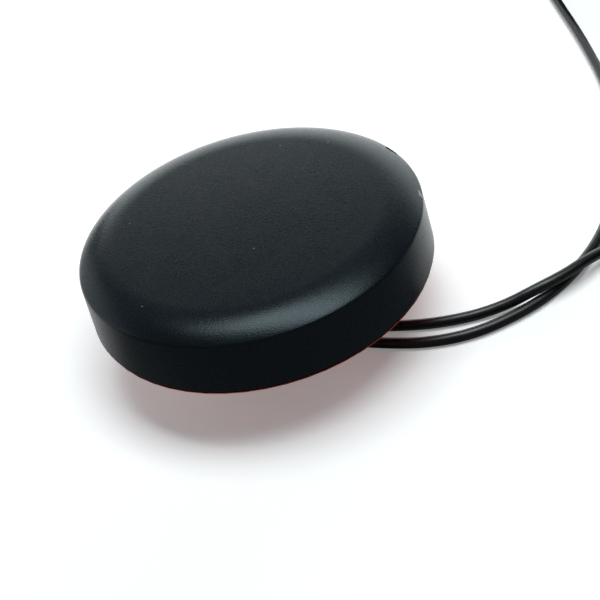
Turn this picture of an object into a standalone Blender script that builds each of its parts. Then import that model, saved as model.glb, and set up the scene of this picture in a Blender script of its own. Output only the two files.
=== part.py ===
# Low-profile puck antenna for satellite positioning and cellular service.
# The housing is a round moulded radome with a wide soft shoulder. It is screwed to a
# base plate whose hollow threaded stud goes through the panel that it is fixed to.
# Two coaxial cables leave the stud through a side slot and end in screw-on plugs.
#
# Frame: +Z along the stud's axis, towards the radome's top. The origin is on that axis,
# in the plane of the adhesive face that meets the panel. +X is the side to which the
# cables leave the stud. Sizes below are in millimetres, angles in degrees.

import math

import bmesh
import bpy
from mathutils import Matrix, Vector

MM = 0.001
WELD = 0.002

# Facets round a full turn
ROUND_STEPS = 56
SMALL_STEPS = 20

# Clearances
FIT = 0.3                    # between pieces that seat on each other
LAMINATE_GAP = 0.05          # between thin flat layers that are stuck together
RUNNING_GAP = 0.15           # round a piece that turns

# Radome
RADIUS = 40.0                # of the side wall at its lower edge
WALL_DRAFT = 2.0
HEADROOM = 1.6               # between the patch's feed pin and the radome's ceiling
SHOULDER_SLOPE = 40.0        # of the shoulder where it meets the wall
SHOULDER_RADIUS = 13.0
CREASE_FILLET = 0.9
SHELL = 2.2
LEDGE_WIDTH = 1.6
LEDGE_HEIGHT = 1.4
NICK_ANGLE = 60.0            # round the radome, from +X
NICK_LENGTH = 2.4
NICK_DEPTH = 0.5

# Layers under the base
LINER_THICKNESS = 0.2
LINER_INSET = 0.4
PAD_THICKNESS = 0.6
PAD_INSET = 0.7
PAD_HOLE_MARGIN = 1.2

# Base plate and its stud
BASE_THICKNESS = 2.5
STUD_RADIUS = 7.0
STUD_LENGTH = 15.5           # below the adhesive face
STUD_CHAMFER = 0.8
STUD_FILLET = 0.8
SLOT_HEIGHT = 6.0

# Gasket between the base plate and the radome's ledge
GASKET_HEIGHT = 1.1

# Housing screws, driven from below into the radome's bosses
BOSS_RADIUS = 3.2
BOSS_MARGIN = 2.0            # to the radome's ledge
BOSS_COUNT = 4
BOSS_FIRST_ANGLE = 45.0
RIB_THICKNESS = 1.2
SCREW_RADIUS = 1.15
SCREW_LENGTH = 8.0
SCREW_HEAD_RADIUS = 2.4
SCREW_HEAD_HEIGHT = 1.3
SCREW_PILOT_GAP = 0.15

# Circuit board on its posts
BOARD_THICKNESS = 1.6
BOARD_MARGIN = 0.3           # to the radome's bosses
POST_HEIGHT = 2.6
POST_RADIUS = 2.5
POST_MARGIN = 1.1            # to the board's edge
POST_COUNT = 3
POST_FIRST_ANGLE = 0.0
BOARD_SCREW_RADIUS = 0.95
BOARD_SCREW_LENGTH = 4.6
BOARD_SCREW_HEAD_RADIUS = 1.9
BOARD_SCREW_HEAD_HEIGHT = 1.3

# Satellite patch on the board's top
PATCH_SIZE = 25.0
PATCH_HEIGHT = 4.0
PATCH_X = -5.0
ELECTRODE_MARGIN = 2.0       # to the patch's edge
ELECTRODE_THICKNESS = 0.1
ELECTRODE_TRIM = 2.2         # cut off two opposite corners
TAPE_THICKNESS = 0.2
TAPE_INSET = 0.5
PIN_OFFSET = 3.0             # from the patch's centre
PIN_RADIUS = 0.45
PIN_HEAD_RADIUS = 1.1
PIN_HEAD_HEIGHT = 0.3
PIN_HOLE_GAP = 0.2
PIN_END = 0.8                # length below the board

# Amplifier under the board, inside a shield
SHIELD_SIZE = 12.0
SHIELD_CLEARANCE = 0.65      # above the base plate
SHIELD_SHEET = 0.2
SHIELD_OVER_PIN = 1.5        # reach of the shield past the feed pin
CHIP_SIZE = 2.0
CHIP_HEIGHT = 0.75
FILTER_SIZE = 1.4

# Cellular element, a bent brass sheet on the board's top
ELEMENT_SHEET = 0.4
ELEMENT_INSET = 10.5         # from the board's edge
ELEMENT_TO_BOSS = 3.4
ELEMENT_TO_CEILING = 0.9
ELEMENT_ARM = 4.5
ELEMENT_LEG_WIDTH = 2.5
ELEMENT_LEG_SPACING = 6.0
ELEMENT_LIFT = 2.4

# Nut and washer on the stud
PANEL_GRIP = 3.2             # between the adhesive face and the washer
WASHER_THICKNESS = 1.0
WASHER_RADIUS = 10.5
WASHER_TEETH = 12
NUT_ACROSS_FLATS = 19.0
NUT_HEIGHT = 5.0
NUT_CHAMFER = 0.9

# Cables
CABLE_RADIUS = 1.3
CABLE_LENGTH = 3000.0
CABLE_GAP = 0.9              # between the two inside the stud
CABLE_BEND = 6.5             # radius, inside the stud
CABLE_STRAIGHT = 6.0         # above that bend
GROMMET_LENGTH = 5.0
GROMMET_FLANGE = 1.2
GROMMET_FLANGE_WIDTH = 1.4
GROMMET_GAP = 0.2
GROMMET_WALL = 0.55
CABLE_TO_BOARD = 0.4

# Cable coils
COIL_COLUMNS = 6
COIL_LAYERS = 5
COIL_GAP = 0.1               # between turns

# Screw-on coaxial plugs, measured back from the coupling nut's front face
PLUG_ACROSS_FLATS = 8.0
PLUG_NUT_LENGTH = 6.5
PLUG_NUT_LIP = 1.5
PLUG_NUT_STEP = 0.45         # of the nut's bore in from its thread to its lip
PLUG_NUT_CHAMFER = 0.5
BARREL_RADIUS = 2.3
BARREL_WALL = 0.35
BARREL_SETBACK = 2.5
PLUG_FLANGE = 0.6
COLLAR_RADIUS = 3.4
COLLAR_LENGTH = 1.8
STEM_RADIUS = 1.75
STEM_BORE = 0.9
STEM_LENGTH = 5.2
PLUG_PIN_RADIUS = 0.46
PLUG_PIN_SETBACK = 0.6
PLUG_PIN_TAPER = 0.5
FERRULE_WALL = 0.45
FERRULE_LENGTH = 7.2
SLEEVE_WALL = 0.4
SLEEVE_TAPER = 2.0
SLEEVE_GRIP = 3.7            # on the cable behind the taper
TAIL_LENGTH = 24.0           # of free cable between a coil and its plug's sleeve

# Heights worked out from the layers
RIM_Z = LINER_THICKNESS + PAD_THICKNESS + 2 * LAMINATE_GAP
BASE_TOP = RIM_Z + BASE_THICKNESS
BOARD_Z = BASE_TOP + POST_HEIGHT
BOARD_TOP = BOARD_Z + BOARD_THICKNESS
TAPE_Z = BOARD_TOP + LAMINATE_GAP
CERAMIC_Z = TAPE_Z + TAPE_THICKNESS + LAMINATE_GAP
ELECTRODE_Z = CERAMIC_Z + PATCH_HEIGHT + LAMINATE_GAP
PIN_HEAD_Z = ELECTRODE_Z + ELECTRODE_THICKNESS + LAMINATE_GAP
INNER_TOP = PIN_HEAD_Z + PIN_HEAD_HEIGHT + HEADROOM
TOP_Z = INNER_TOP + SHELL
CREASE_Z = TOP_Z - SHOULDER_RADIUS * (1.0 - math.cos(math.radians(SHOULDER_SLOPE)))
GASKET_Z = BASE_TOP + LAMINATE_GAP
LEDGE_Z = GASKET_Z + GASKET_HEIGHT + LAMINATE_GAP
FLOOR_Z = -STUD_LENGTH       # of the surface that the stud stands on
CABLE_Z = FLOOR_Z + CABLE_RADIUS
PLUG_Z = FLOOR_Z + PLUG_ACROSS_FLATS / 2

# Radii worked out from the radome inwards
CREASE_RADIUS = RADIUS - (CREASE_Z - RIM_Z) * math.tan(math.radians(WALL_DRAFT))
SHOULDER_CENTRE = (
    CREASE_RADIUS - SHOULDER_RADIUS * math.sin(math.radians(SHOULDER_SLOPE)),
    TOP_Z - SHOULDER_RADIUS,
)
INNER_RADIUS = CREASE_RADIUS - SHELL
BASE_RADIUS = INNER_RADIUS - FIT
LEDGE_RADIUS = INNER_RADIUS - LEDGE_WIDTH
BOSS_CIRCLE = LEDGE_RADIUS - BOSS_MARGIN - BOSS_RADIUS
BOARD_RADIUS = BOSS_CIRCLE - BOSS_RADIUS - BOARD_MARGIN
POST_CIRCLE = BOARD_RADIUS - POST_MARGIN - POST_RADIUS

# Cables, grommet and slot
CABLE_SPREAD = CABLE_RADIUS + CABLE_GAP / 2
GROMMET_HOLE = CABLE_RADIUS + GROMMET_GAP
GROMMET_RADIUS = CABLE_SPREAD + GROMMET_HOLE + GROMMET_WALL
STUD_BORE = GROMMET_RADIUS + GROMMET_GAP
SLOT_HALF_WIDTH = CABLE_SPREAD + CABLE_RADIUS + FIT
COIL_PITCH = 2 * CABLE_RADIUS + COIL_GAP

# Stations along a plug, from its front plane backwards
PLUG_NUT_REAR = -PLUG_NUT_LENGTH
COLLAR_FRONT = PLUG_NUT_REAR - RUNNING_GAP
COLLAR_REAR = COLLAR_FRONT - COLLAR_LENGTH
STEM_END = COLLAR_REAR - STEM_LENGTH
FERRULE_FRONT = COLLAR_REAR - RUNNING_GAP
FERRULE_REAR = FERRULE_FRONT - FERRULE_LENGTH
SLEEVE_NECK = FERRULE_REAR - SLEEVE_TAPER
SLEEVE_REAR = SLEEVE_NECK - SLEEVE_GRIP

# Routes over the surface that the stud stands on, chosen by hand from the stud's slot to
# the coil: (x, y, lift above that surface). One cable passes over the other.
GPS_ROUTE = [
    (12.0, 2.0, 0.0), (18.0, 2.9, 0.0), (25.0, 4.6, 0.0), (32.3, 7.0, 0.0),
    (36.6, 8.8, 0.0), (40.7, 11.0, 0.0), (44.6, 13.6, 0.0), (48.4, 16.5, 0.3),
    (52.1, 19.4, 1.1), (55.0, 21.8, 2.1), (57.6, 24.4, 2.8), (59.6, 27.0, 3.0),
    (61.4, 30.1, 3.0), (62.9, 33.4, 2.9), (64.2, 36.9, 2.4), (65.5, 40.5, 1.6),
    (67.8, 46.0, 0.4), (70.1, 51.4, 0.0),
]
CELLULAR_ROUTE = [
    (12.0, -1.8, 0.0), (18.0, -1.7, 0.0), (26.0, -0.8, 0.0), (34.8, 1.4, 0.0),
    (38.9, 3.0, 0.0), (42.8, 5.1, 0.0), (46.4, 7.7, 0.0), (49.7, 10.9, 0.0),
    (52.8, 14.8, 0.0), (55.7, 19.2, 0.0), (58.3, 24.5, 0.0), (60.2, 30.2, 0.0),
    (61.4, 36.5, 0.0), (62.0, 43.0, 0.0), (61.8, 50.0, 0.0), (60.6, 58.0, 0.0),
    (57.8, 70.0, 0.0), (53.6, 82.0, 0.0), (46.6, 97.0, 0.0), (37.6, 112.0, 0.0),
    (28.9, 124.1, 0.0), (21.6, 133.6, 0.0), (14.0, 143.0, 0.0), (6.9, 151.8, 0.0),
]
# Where each cable touches its coil, and its heading there
GPS_COIL_START = (74.9, 62.6)
GPS_COIL_HEADING = 67.0
CELLULAR_COIL_START = (-2.1, 163.2)
CELLULAR_COIL_HEADING = 128.5


def clear_objects():
    for obj in list(bpy.data.objects):
        bpy.data.objects.remove(obj, do_unlink=True)


def make_material(name, colour, roughness, metallic=0.0):
    material = bpy.data.materials.new(name)
    material.use_nodes = True
    shader = material.node_tree.nodes["Principled BSDF"]
    shader.inputs["Base Color"].default_value = (*colour, 1.0)
    shader.inputs["Roughness"].default_value = roughness
    shader.inputs["Metallic"].default_value = metallic
    material.diffuse_color = (*colour, 1.0)
    return material


def make_materials():
    return {
        "housing": make_material("black_moulded_plastic", (0.012, 0.014, 0.015), 0.45),
        "base": make_material("black_base_plastic", (0.015, 0.015, 0.016), 0.5),
        "foam": make_material("black_foam", (0.02, 0.02, 0.02), 0.9),
        "liner": make_material("red_liner_film", (0.45, 0.03, 0.02), 0.35),
        "rubber": make_material("black_rubber", (0.02, 0.02, 0.02), 0.7),
        "silicone": make_material("grey_silicone", (0.25, 0.25, 0.25), 0.6),
        "jacket": make_material("black_cable_jacket", (0.01, 0.01, 0.01), 0.3),
        "steel": make_material("zinc_plated_steel", (0.6, 0.6, 0.62), 0.35, 1.0),
        "brass": make_material("brass_sheet", (0.72, 0.53, 0.22), 0.35, 1.0),
        "gold": make_material("gold_plating", (0.85, 0.62, 0.22), 0.25, 1.0),
        "tin": make_material("tin_plated_sheet", (0.65, 0.65, 0.62), 0.4, 1.0),
        "silver": make_material("fired_silver", (0.75, 0.75, 0.73), 0.45, 1.0),
        "board": make_material("green_board_laminate", (0.02, 0.12, 0.05), 0.4),
        "ceramic": make_material("dielectric_ceramic", (0.42, 0.33, 0.24), 0.6),
        "tape": make_material("adhesive_tape", (0.7, 0.68, 0.6), 0.5),
        "chip": make_material("chip_resin", (0.02, 0.02, 0.02), 0.5),
        "ptfe": make_material("white_ptfe", (0.8, 0.8, 0.78), 0.4),
    }


def add_object(name, mesh, material=None, parent=None):
    obj = bpy.data.objects.new(name, mesh)
    bpy.context.scene.collection.objects.link(obj)
    if material:
        mesh.materials.append(material)
    if parent:
        obj.parent = parent
    return obj


def finish_mesh(bm, name, smooth=True):
    """Scale a mesh drawn in millimetres to metres and close it up."""
    bmesh.ops.remove_doubles(bm, verts=bm.verts, dist=WELD)
    bmesh.ops.recalc_face_normals(bm, faces=bm.faces)
    bmesh.ops.scale(bm, vec=(MM, MM, MM), verts=bm.verts)
    mesh = bpy.data.meshes.new(name)
    bm.to_mesh(mesh)
    bm.free()
    if smooth:
        mesh.shade_smooth()
        mesh.set_sharp_from_angle(angle=math.radians(30))
    return mesh


def turned(name, outline, material=None, steps=ROUND_STEPS, parent=None):
    """Spin a closed outline of (radius, height) points round Z."""
    bm = bmesh.new()
    verts = [bm.verts.new((radius, 0.0, height)) for radius, height in outline]
    edges = [bm.edges.new(pair) for pair in zip(verts, verts[1:])]
    if outline[0][0] > 0.0 or outline[-1][0] > 0.0:
        edges.append(bm.edges.new((verts[-1], verts[0])))
    bmesh.ops.spin(
        bm, geom=verts + edges, cent=(0, 0, 0), axis=(0, 0, 1),
        angle=math.tau, steps=steps,
    )
    return add_object(name, finish_mesh(bm, name), material, parent)


def prism(name, outline, low, high, material=None, parent=None):
    """Extrude an outline of (x, y) points from one height to another."""
    bm = bmesh.new()
    face = bm.faces.new([bm.verts.new((x, y, low)) for x, y in outline])
    raised = bmesh.ops.extrude_face_region(bm, geom=[face])["geom"]
    top = [item for item in raised if isinstance(item, bmesh.types.BMVert)]
    bmesh.ops.translate(bm, vec=(0, 0, high - low), verts=top)
    return add_object(name, finish_mesh(bm, name), material, parent)


def block(name, centre, size, low, high, material=None, parent=None):
    x, y = centre
    dx, dy = size[0] / 2, size[1] / 2
    outline = [(x - dx, y - dy), (x + dx, y - dy), (x + dx, y + dy), (x - dx, y + dy)]
    return prism(name, outline, low, high, material, parent)


def rod(name, centre, radius, low, high, steps=SMALL_STEPS):
    """A plain round bar, used as a cutter or to be joined to a moulding."""
    outline = [
        (centre[0] + radius * math.cos(math.tau * i / steps),
         centre[1] + radius * math.sin(math.tau * i / steps))
        for i in range(steps)
    ]
    return prism(name, outline, low, high)


def polygon(count, across_flats):
    """Corners of a regular polygon, with a flat facing -Y."""
    radius = across_flats / 2 / math.cos(math.pi / count)
    return [
        (radius * math.cos(math.tau * (i + 0.5) / count - math.pi / 2),
         radius * math.sin(math.tau * (i + 0.5) / count - math.pi / 2))
        for i in range(count)
    ]


def combine(target, tool, operation):
    """Join, cut or intersect with a tool that stays in the file as a hidden guide."""
    tool.hide_render = True
    tool.display_type = "WIRE"
    modifier = target.modifiers.new(tool.name, "BOOLEAN")
    modifier.operation = operation
    modifier.solver = "EXACT"
    modifier.object = tool


def arc(centre, radius, first, last, steps):
    """Points of an arc, with angles in degrees from the +X side."""
    points = []
    for i in range(steps + 1):
        angle = math.radians(first + (last - first) * i / steps)
        points.append((centre[0] + radius * math.cos(angle), centre[1] + radius * math.sin(angle)))
    return points


def fillet(before, corner, after, radius, steps):
    """Round one corner of an outline."""
    corner = Vector(corner)
    to_before = (Vector(before) - corner).normalized()
    to_after = (Vector(after) - corner).normalized()
    half = to_before.angle(to_after) / 2
    reach = radius / math.tan(half)
    centre = corner + (to_before + to_after).normalized() * radius / math.sin(half)
    start = corner + to_before * reach - centre
    end = corner + to_after * reach - centre
    points = []
    for i in range(steps + 1):
        point = start.lerp(end, i / steps).normalized() * radius + centre
        points.append((point.x, point.y))
    return points


def on_circle(radius, degrees):
    angle = math.radians(degrees)
    return (radius * math.cos(angle), radius * math.sin(angle))


def boss_places():
    step = 360.0 / BOSS_COUNT
    return [on_circle(BOSS_CIRCLE, BOSS_FIRST_ANGLE + step * i) for i in range(BOSS_COUNT)]


def post_places():
    step = 360.0 / POST_COUNT
    return [on_circle(POST_CIRCLE, POST_FIRST_ANGLE + step * i) for i in range(POST_COUNT)]


def radome_outline():
    shoulder = arc(SHOULDER_CENTRE, SHOULDER_RADIUS, 90.0 - SHOULDER_SLOPE, 90.0, 7)
    crease = fillet((RADIUS, RIM_Z), (CREASE_RADIUS, CREASE_Z), shoulder[1], CREASE_FILLET, 3)
    inner_arc = SHOULDER_RADIUS - SHELL
    reach = (INNER_RADIUS - SHOULDER_CENTRE[0]) / inner_arc
    inside = arc(SHOULDER_CENTRE, inner_arc, 90.0, math.degrees(math.acos(reach)), 3)
    return [
        (INNER_RADIUS, RIM_Z),
        (RADIUS, RIM_Z),
        *crease,
        *shoulder[1:],
        (0.0, TOP_Z),
        (0.0, INNER_TOP),
        *inside,
        (INNER_RADIUS, LEDGE_Z + LEDGE_HEIGHT + LEDGE_WIDTH),
        (LEDGE_RADIUS, LEDGE_Z + LEDGE_HEIGHT),
        (LEDGE_RADIUS, LEDGE_Z),
        (INNER_RADIUS, LEDGE_Z),
    ]


def build_radome(materials):
    outline = radome_outline()
    axis = outline.index((0.0, INNER_TOP))
    # the outline starts and ends on the axis, so that the spin closes there
    outline = outline[axis:] + outline[:axis]
    radome = turned("radome_shell", outline, materials["housing"])
    shell_middle = TOP_Z - SHELL / 2
    for i, (x, y) in enumerate(boss_places()):
        low = BASE_TOP + LAMINATE_GAP
        angle = math.atan2(y, x)
        reach = math.hypot(x, y)
        root = SHOULDER_CENTRE[1] + math.sqrt(
            (SHOULDER_RADIUS - SHELL / 2) ** 2
            - max(0.0, reach + BOSS_RADIUS - SHOULDER_CENTRE[0]) ** 2
        )
        top = min(shell_middle, root)
        combine(radome, rod(f"boss_{i + 1}", (x, y), BOSS_RADIUS, low, top), "UNION")
        rib = block(
            f"boss_rib_{i + 1}", ((reach + INNER_RADIUS + SHELL / 2) / 2, 0.0),
            (INNER_RADIUS + SHELL / 2 - reach, RIB_THICKNESS),
            LEDGE_Z + LEDGE_HEIGHT / 2, CREASE_Z - SHELL / 2,
        )
        rib.rotation_euler[2] = angle
        combine(radome, rib, "UNION")
    for i, place in enumerate(boss_places()):
        hole = rod(
            f"boss_hole_{i + 1}", place, SCREW_RADIUS + SCREW_PILOT_GAP,
            RIM_Z, RIM_Z + SCREW_LENGTH + FIT, steps=12,
        )
        combine(radome, hole, "DIFFERENCE")
    combine(radome, build_nick_cutter(), "DIFFERENCE")
    return radome


def build_nick_cutter():
    """A small wedge that takes a chip out of the shoulder's edge."""
    bm = bmesh.new()
    half = NICK_LENGTH / 2
    ends = [bm.verts.new((CREASE_RADIUS - NICK_DEPTH, y, CREASE_Z)) for y in (-half, half * 0.4)]
    outer = [
        bm.verts.new((CREASE_RADIUS + 2 * NICK_DEPTH, y, CREASE_Z + side * NICK_DEPTH))
        for y, side in ((-half * 1.3, -1.0), (half, -0.8), (half, 1.6), (-half * 1.3, 1.3))
    ]
    bmesh.ops.convex_hull(bm, input=ends + outer)
    cutter = add_object("nick", finish_mesh(bm, "nick", smooth=False))
    cutter.rotation_euler[2] = math.radians(NICK_ANGLE)
    return cutter


def build_base(materials):
    chamfer = 0.4
    base = turned("base_plate", [
        (STUD_BORE, FLOOR_Z),
        (STUD_RADIUS - STUD_CHAMFER, FLOOR_Z),
        (STUD_RADIUS, FLOOR_Z + STUD_CHAMFER),
        *arc((STUD_RADIUS + STUD_FILLET, RIM_Z - STUD_FILLET), STUD_FILLET, 180.0, 90.0, 2),
        (BASE_RADIUS - chamfer, RIM_Z),
        (BASE_RADIUS, RIM_Z + chamfer),
        (BASE_RADIUS, BASE_TOP),
        (STUD_BORE, BASE_TOP),
    ], materials["base"])
    for i, place in enumerate(post_places()):
        post = rod(f"post_{i + 1}", place, POST_RADIUS, BASE_TOP - 1.0, BOARD_Z - LAMINATE_GAP)
        combine(base, post, "UNION")
    for i, place in enumerate(post_places()):
        hole = rod(
            f"post_hole_{i + 1}", place, BOARD_SCREW_RADIUS + SCREW_PILOT_GAP,
            BOARD_TOP - BOARD_SCREW_LENGTH - FIT, BOARD_TOP, steps=12,
        )
        combine(base, hole, "DIFFERENCE")
    for i, (x, y) in enumerate(boss_places()):
        hole = turned(f"screw_hole_{i + 1}", [
            (0.0, RIM_Z - 1.0),
            (SCREW_HEAD_RADIUS + FIT, RIM_Z - 1.0),
            (SCREW_HEAD_RADIUS + FIT, RIM_Z + LAMINATE_GAP),
            (SCREW_RADIUS + FIT, RIM_Z + SCREW_HEAD_HEIGHT + LAMINATE_GAP),
            (SCREW_RADIUS + FIT, BASE_TOP + 1.0),
            (0.0, BASE_TOP + 1.0),
        ], steps=SMALL_STEPS)
        hole.location = (x * MM, y * MM, 0.0)
        combine(base, hole, "DIFFERENCE")
    slot = block(
        "cable_slot", (STUD_RADIUS, 0.0), (2 * STUD_RADIUS, 2 * SLOT_HALF_WIDTH),
        FLOOR_Z - 1.0, FLOOR_Z + SLOT_HEIGHT,
    )
    combine(base, slot, "DIFFERENCE")
    return base


def build_gasket(materials):
    inner, outer = LEDGE_RADIUS + FIT / 2, BASE_RADIUS
    return turned("perimeter_gasket", [
        (inner, GASKET_Z), (outer, GASKET_Z),
        (outer, GASKET_Z + GASKET_HEIGHT), (inner, GASKET_Z + GASKET_HEIGHT),
    ], materials["silicone"])


def build_pad_and_liner(materials):
    hole = STUD_RADIUS + PAD_HOLE_MARGIN
    pad_low = LINER_THICKNESS + LAMINATE_GAP
    for name, radius, low, high, material in (
        ("adhesive_pad", RADIUS - PAD_INSET, pad_low, pad_low + PAD_THICKNESS, "foam"),
        ("release_liner", RADIUS - LINER_INSET, 0.0, LINER_THICKNESS, "liner"),
    ):
        turned(name, [(hole, low), (radius, low), (radius, high), (hole, high)], materials[material])


def build_housing_screws(materials):
    for i, (x, y) in enumerate(boss_places()):
        screw = turned(f"housing_screw_{i + 1}", [
            (0.0, RIM_Z + LAMINATE_GAP),
            (SCREW_HEAD_RADIUS, RIM_Z + LAMINATE_GAP),
            (SCREW_RADIUS, RIM_Z + SCREW_HEAD_HEIGHT),
            (SCREW_RADIUS, RIM_Z + SCREW_LENGTH - SCREW_RADIUS),
            (0.0, RIM_Z + SCREW_LENGTH),
        ], materials["steel"], steps=12)
        screw.location = (x * MM, y * MM, 0.0)


def build_grommet(materials):
    low = RIM_Z - GROMMET_LENGTH
    flange_radius = STUD_BORE + GROMMET_FLANGE_WIDTH
    flange_low = BASE_TOP + LAMINATE_GAP
    flange_top = flange_low + GROMMET_FLANGE
    grommet = turned("cable_grommet", [
        (0.0, low),
        (GROMMET_RADIUS, low),
        (GROMMET_RADIUS, flange_low),
        (flange_radius, flange_low),
        (flange_radius, flange_top),
        (0.0, flange_top),
    ], materials["rubber"], steps=32)
    for side, name in ((1, "gps"), (-1, "cellular")):
        place = (0.0, side * CABLE_SPREAD)
        hole = rod(f"{name}_grommet_hole", place, GROMMET_HOLE, low - 1.0, flange_top + 1.0, steps=16)
        combine(grommet, hole, "DIFFERENCE")
    return grommet


def build_board(materials):
    board = rod("main_board", (0.0, 0.0), BOARD_RADIUS, BOARD_Z, BOARD_TOP, steps=48)
    board.data.materials.append(materials["board"])
    for i, place in enumerate(post_places()):
        hole = rod(
            f"board_hole_{i + 1}", place, BOARD_SCREW_RADIUS + FIT,
            BOARD_Z - 1.0, BOARD_TOP + 1.0, steps=12,
        )
        combine(board, hole, "DIFFERENCE")
    combine(board, pin_hole("board_pin_hole", BOARD_Z - 1.0, BOARD_TOP + 1.0), "DIFFERENCE")
    for i, (x, y) in enumerate(post_places()):
        head = BOARD_TOP + LAMINATE_GAP
        screw = turned(f"board_screw_{i + 1}", [
            (0.0, BOARD_TOP - BOARD_SCREW_LENGTH),
            (BOARD_SCREW_RADIUS, BOARD_TOP - BOARD_SCREW_LENGTH + BOARD_SCREW_RADIUS / 2),
            (BOARD_SCREW_RADIUS, head),
            (BOARD_SCREW_HEAD_RADIUS, head),
            (BOARD_SCREW_HEAD_RADIUS, head + BOARD_SCREW_HEAD_HEIGHT / 2),
            (BOARD_SCREW_HEAD_RADIUS / 2, head + BOARD_SCREW_HEAD_HEIGHT),
            (0.0, head + BOARD_SCREW_HEAD_HEIGHT),
        ], materials["steel"], steps=12)
        screw.location = (x * MM, y * MM, 0.0)
    return board


def pin_hole(name, low, high):
    place = (PATCH_X - PIN_OFFSET, 0.0)
    return rod(name, place, PIN_RADIUS + PIN_HOLE_GAP, low, high, steps=12)


def build_patch(materials):
    """The satellite patch, taped to the board, with its feed pin through all of them."""
    centre = (PATCH_X, 0.0)
    tape_size = PATCH_SIZE - 2 * TAPE_INSET
    tape = block("patch_tape", centre, (tape_size, tape_size),
                 TAPE_Z, TAPE_Z + TAPE_THICKNESS, materials["tape"])
    ceramic = block("patch_ceramic", centre, (PATCH_SIZE, PATCH_SIZE),
                    CERAMIC_Z, CERAMIC_Z + PATCH_HEIGHT, materials["ceramic"])
    half = PATCH_SIZE / 2 - ELECTRODE_MARGIN
    trim = ELECTRODE_TRIM
    corners = [
        (-half, -half + trim), (-half + trim, -half), (half, -half),
        (half, half - trim), (half - trim, half), (-half, half),
    ]
    electrode = prism("patch_electrode", [(x + PATCH_X, y) for x, y in corners],
                      ELECTRODE_Z, ELECTRODE_Z + ELECTRODE_THICKNESS, materials["silver"])
    for target in (tape, ceramic, electrode):
        hole = pin_hole(f"{target.name}_pin_hole", BOARD_TOP - 1.0, PIN_HEAD_Z + 1.0)
        combine(target, hole, "DIFFERENCE")
    pin = turned("patch_feed_pin", [
        (0.0, BOARD_Z - PIN_END),
        (PIN_RADIUS, BOARD_Z - PIN_END),
        (PIN_RADIUS, PIN_HEAD_Z),
        (PIN_HEAD_RADIUS, PIN_HEAD_Z),
        (PIN_HEAD_RADIUS * 0.6, PIN_HEAD_Z + PIN_HEAD_HEIGHT),
        (0.0, PIN_HEAD_Z + PIN_HEAD_HEIGHT),
    ], materials["tin"], steps=12)
    pin.location = ((PATCH_X - PIN_OFFSET) * MM, 0.0, 0.0)


def build_amplifier(materials):
    """Two chips under the board, and the shield that covers them, open towards the board."""
    top = BOARD_Z - LAMINATE_GAP
    low = BASE_TOP + SHIELD_CLEARANCE
    middle = PATCH_X - PIN_OFFSET + SHIELD_OVER_PIN - SHIELD_SIZE / 2
    shield = block("shield_can", (middle, 0.0), (SHIELD_SIZE, SHIELD_SIZE), low, top,
                   materials["tin"])
    inside = SHIELD_SIZE - 2 * SHIELD_SHEET
    hollow = block("shield_hollow", (middle, 0.0), (inside, inside), low + SHIELD_SHEET, top + 1.0)
    combine(shield, hollow, "DIFFERENCE")
    aside = SHIELD_SIZE / 4
    block("amplifier_chip", (middle, aside), (CHIP_SIZE, CHIP_SIZE),
          top - CHIP_HEIGHT, top, materials["chip"])
    block("filter_chip", (middle, -aside), (FILTER_SIZE, FILTER_SIZE),
          top - CHIP_HEIGHT, top, materials["tin"])


def build_cellular_element(materials):
    """A folded sheet: two legs, a wall and an arm along its top."""
    wall_x = BOARD_RADIUS - ELEMENT_INSET
    foot = BOARD_TOP + LAMINATE_GAP
    top = INNER_TOP - ELEMENT_TO_CEILING - ELEMENT_SHEET / 2
    half = min(abs(y) for x, y in boss_places()) - BOSS_RADIUS - ELEMENT_TO_BOSS
    stations = [
        -half, -half + ELEMENT_LEG_WIDTH, -half + ELEMENT_LEG_SPACING,
        -half + ELEMENT_LEG_SPACING + ELEMENT_LEG_WIDTH, half,
    ]
    bm = bmesh.new()
    rows = [
        [bm.verts.new((wall_x, y, z)) for y in stations]
        for z in (foot, foot + ELEMENT_LIFT, top)
    ]
    rows.append([bm.verts.new((wall_x + ELEMENT_ARM, y, top)) for y in stations])
    for lower, upper in zip(rows[1:], rows[2:]):
        for i in range(len(stations) - 1):
            bm.faces.new((lower[i], lower[i + 1], upper[i + 1], upper[i]))
    for i in (0, 2):
        bm.faces.new((rows[0][i], rows[0][i + 1], rows[1][i + 1], rows[1][i]))
    unused = [vert for vert in bm.verts if not vert.link_faces]
    bmesh.ops.delete(bm, geom=unused, context="VERTS")
    element = add_object("cellular_element", finish_mesh(bm, "cellular_element"), materials["brass"])
    sheet = element.modifiers.new("sheet", "SOLIDIFY")
    sheet.thickness = ELEMENT_SHEET * MM
    sheet.offset = 0.0
    sheet.use_even_offset = True
    return element


def build_nut_and_washer(materials):
    washer_top = -PANEL_GRIP
    washer_low = washer_top - WASHER_THICKNESS
    nut_top = washer_low - FIT / 2
    nut_low = nut_top - NUT_HEIGHT
    inner = STUD_RADIUS + FIT / 2
    washer = turned("lock_washer", [
        (inner, washer_low), (WASHER_RADIUS, washer_low),
        (WASHER_RADIUS, washer_top), (inner, washer_top),
    ], materials["steel"], steps=48)
    # notches round the washer's edge leave its teeth standing
    for i in range(WASHER_TEETH):
        place = on_circle(WASHER_RADIUS, 360.0 * (i + 0.1) / WASHER_TEETH)
        notch = rod(f"washer_notch_{i + 1}", place, 0.7, washer_low - 1.0, washer_top + 1.0, steps=7)
        combine(washer, notch, "DIFFERENCE")
    build_hex_nut("mounting_nut", NUT_ACROSS_FLATS, inner, nut_low, nut_top, NUT_CHAMFER,
                  materials["steel"])


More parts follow.
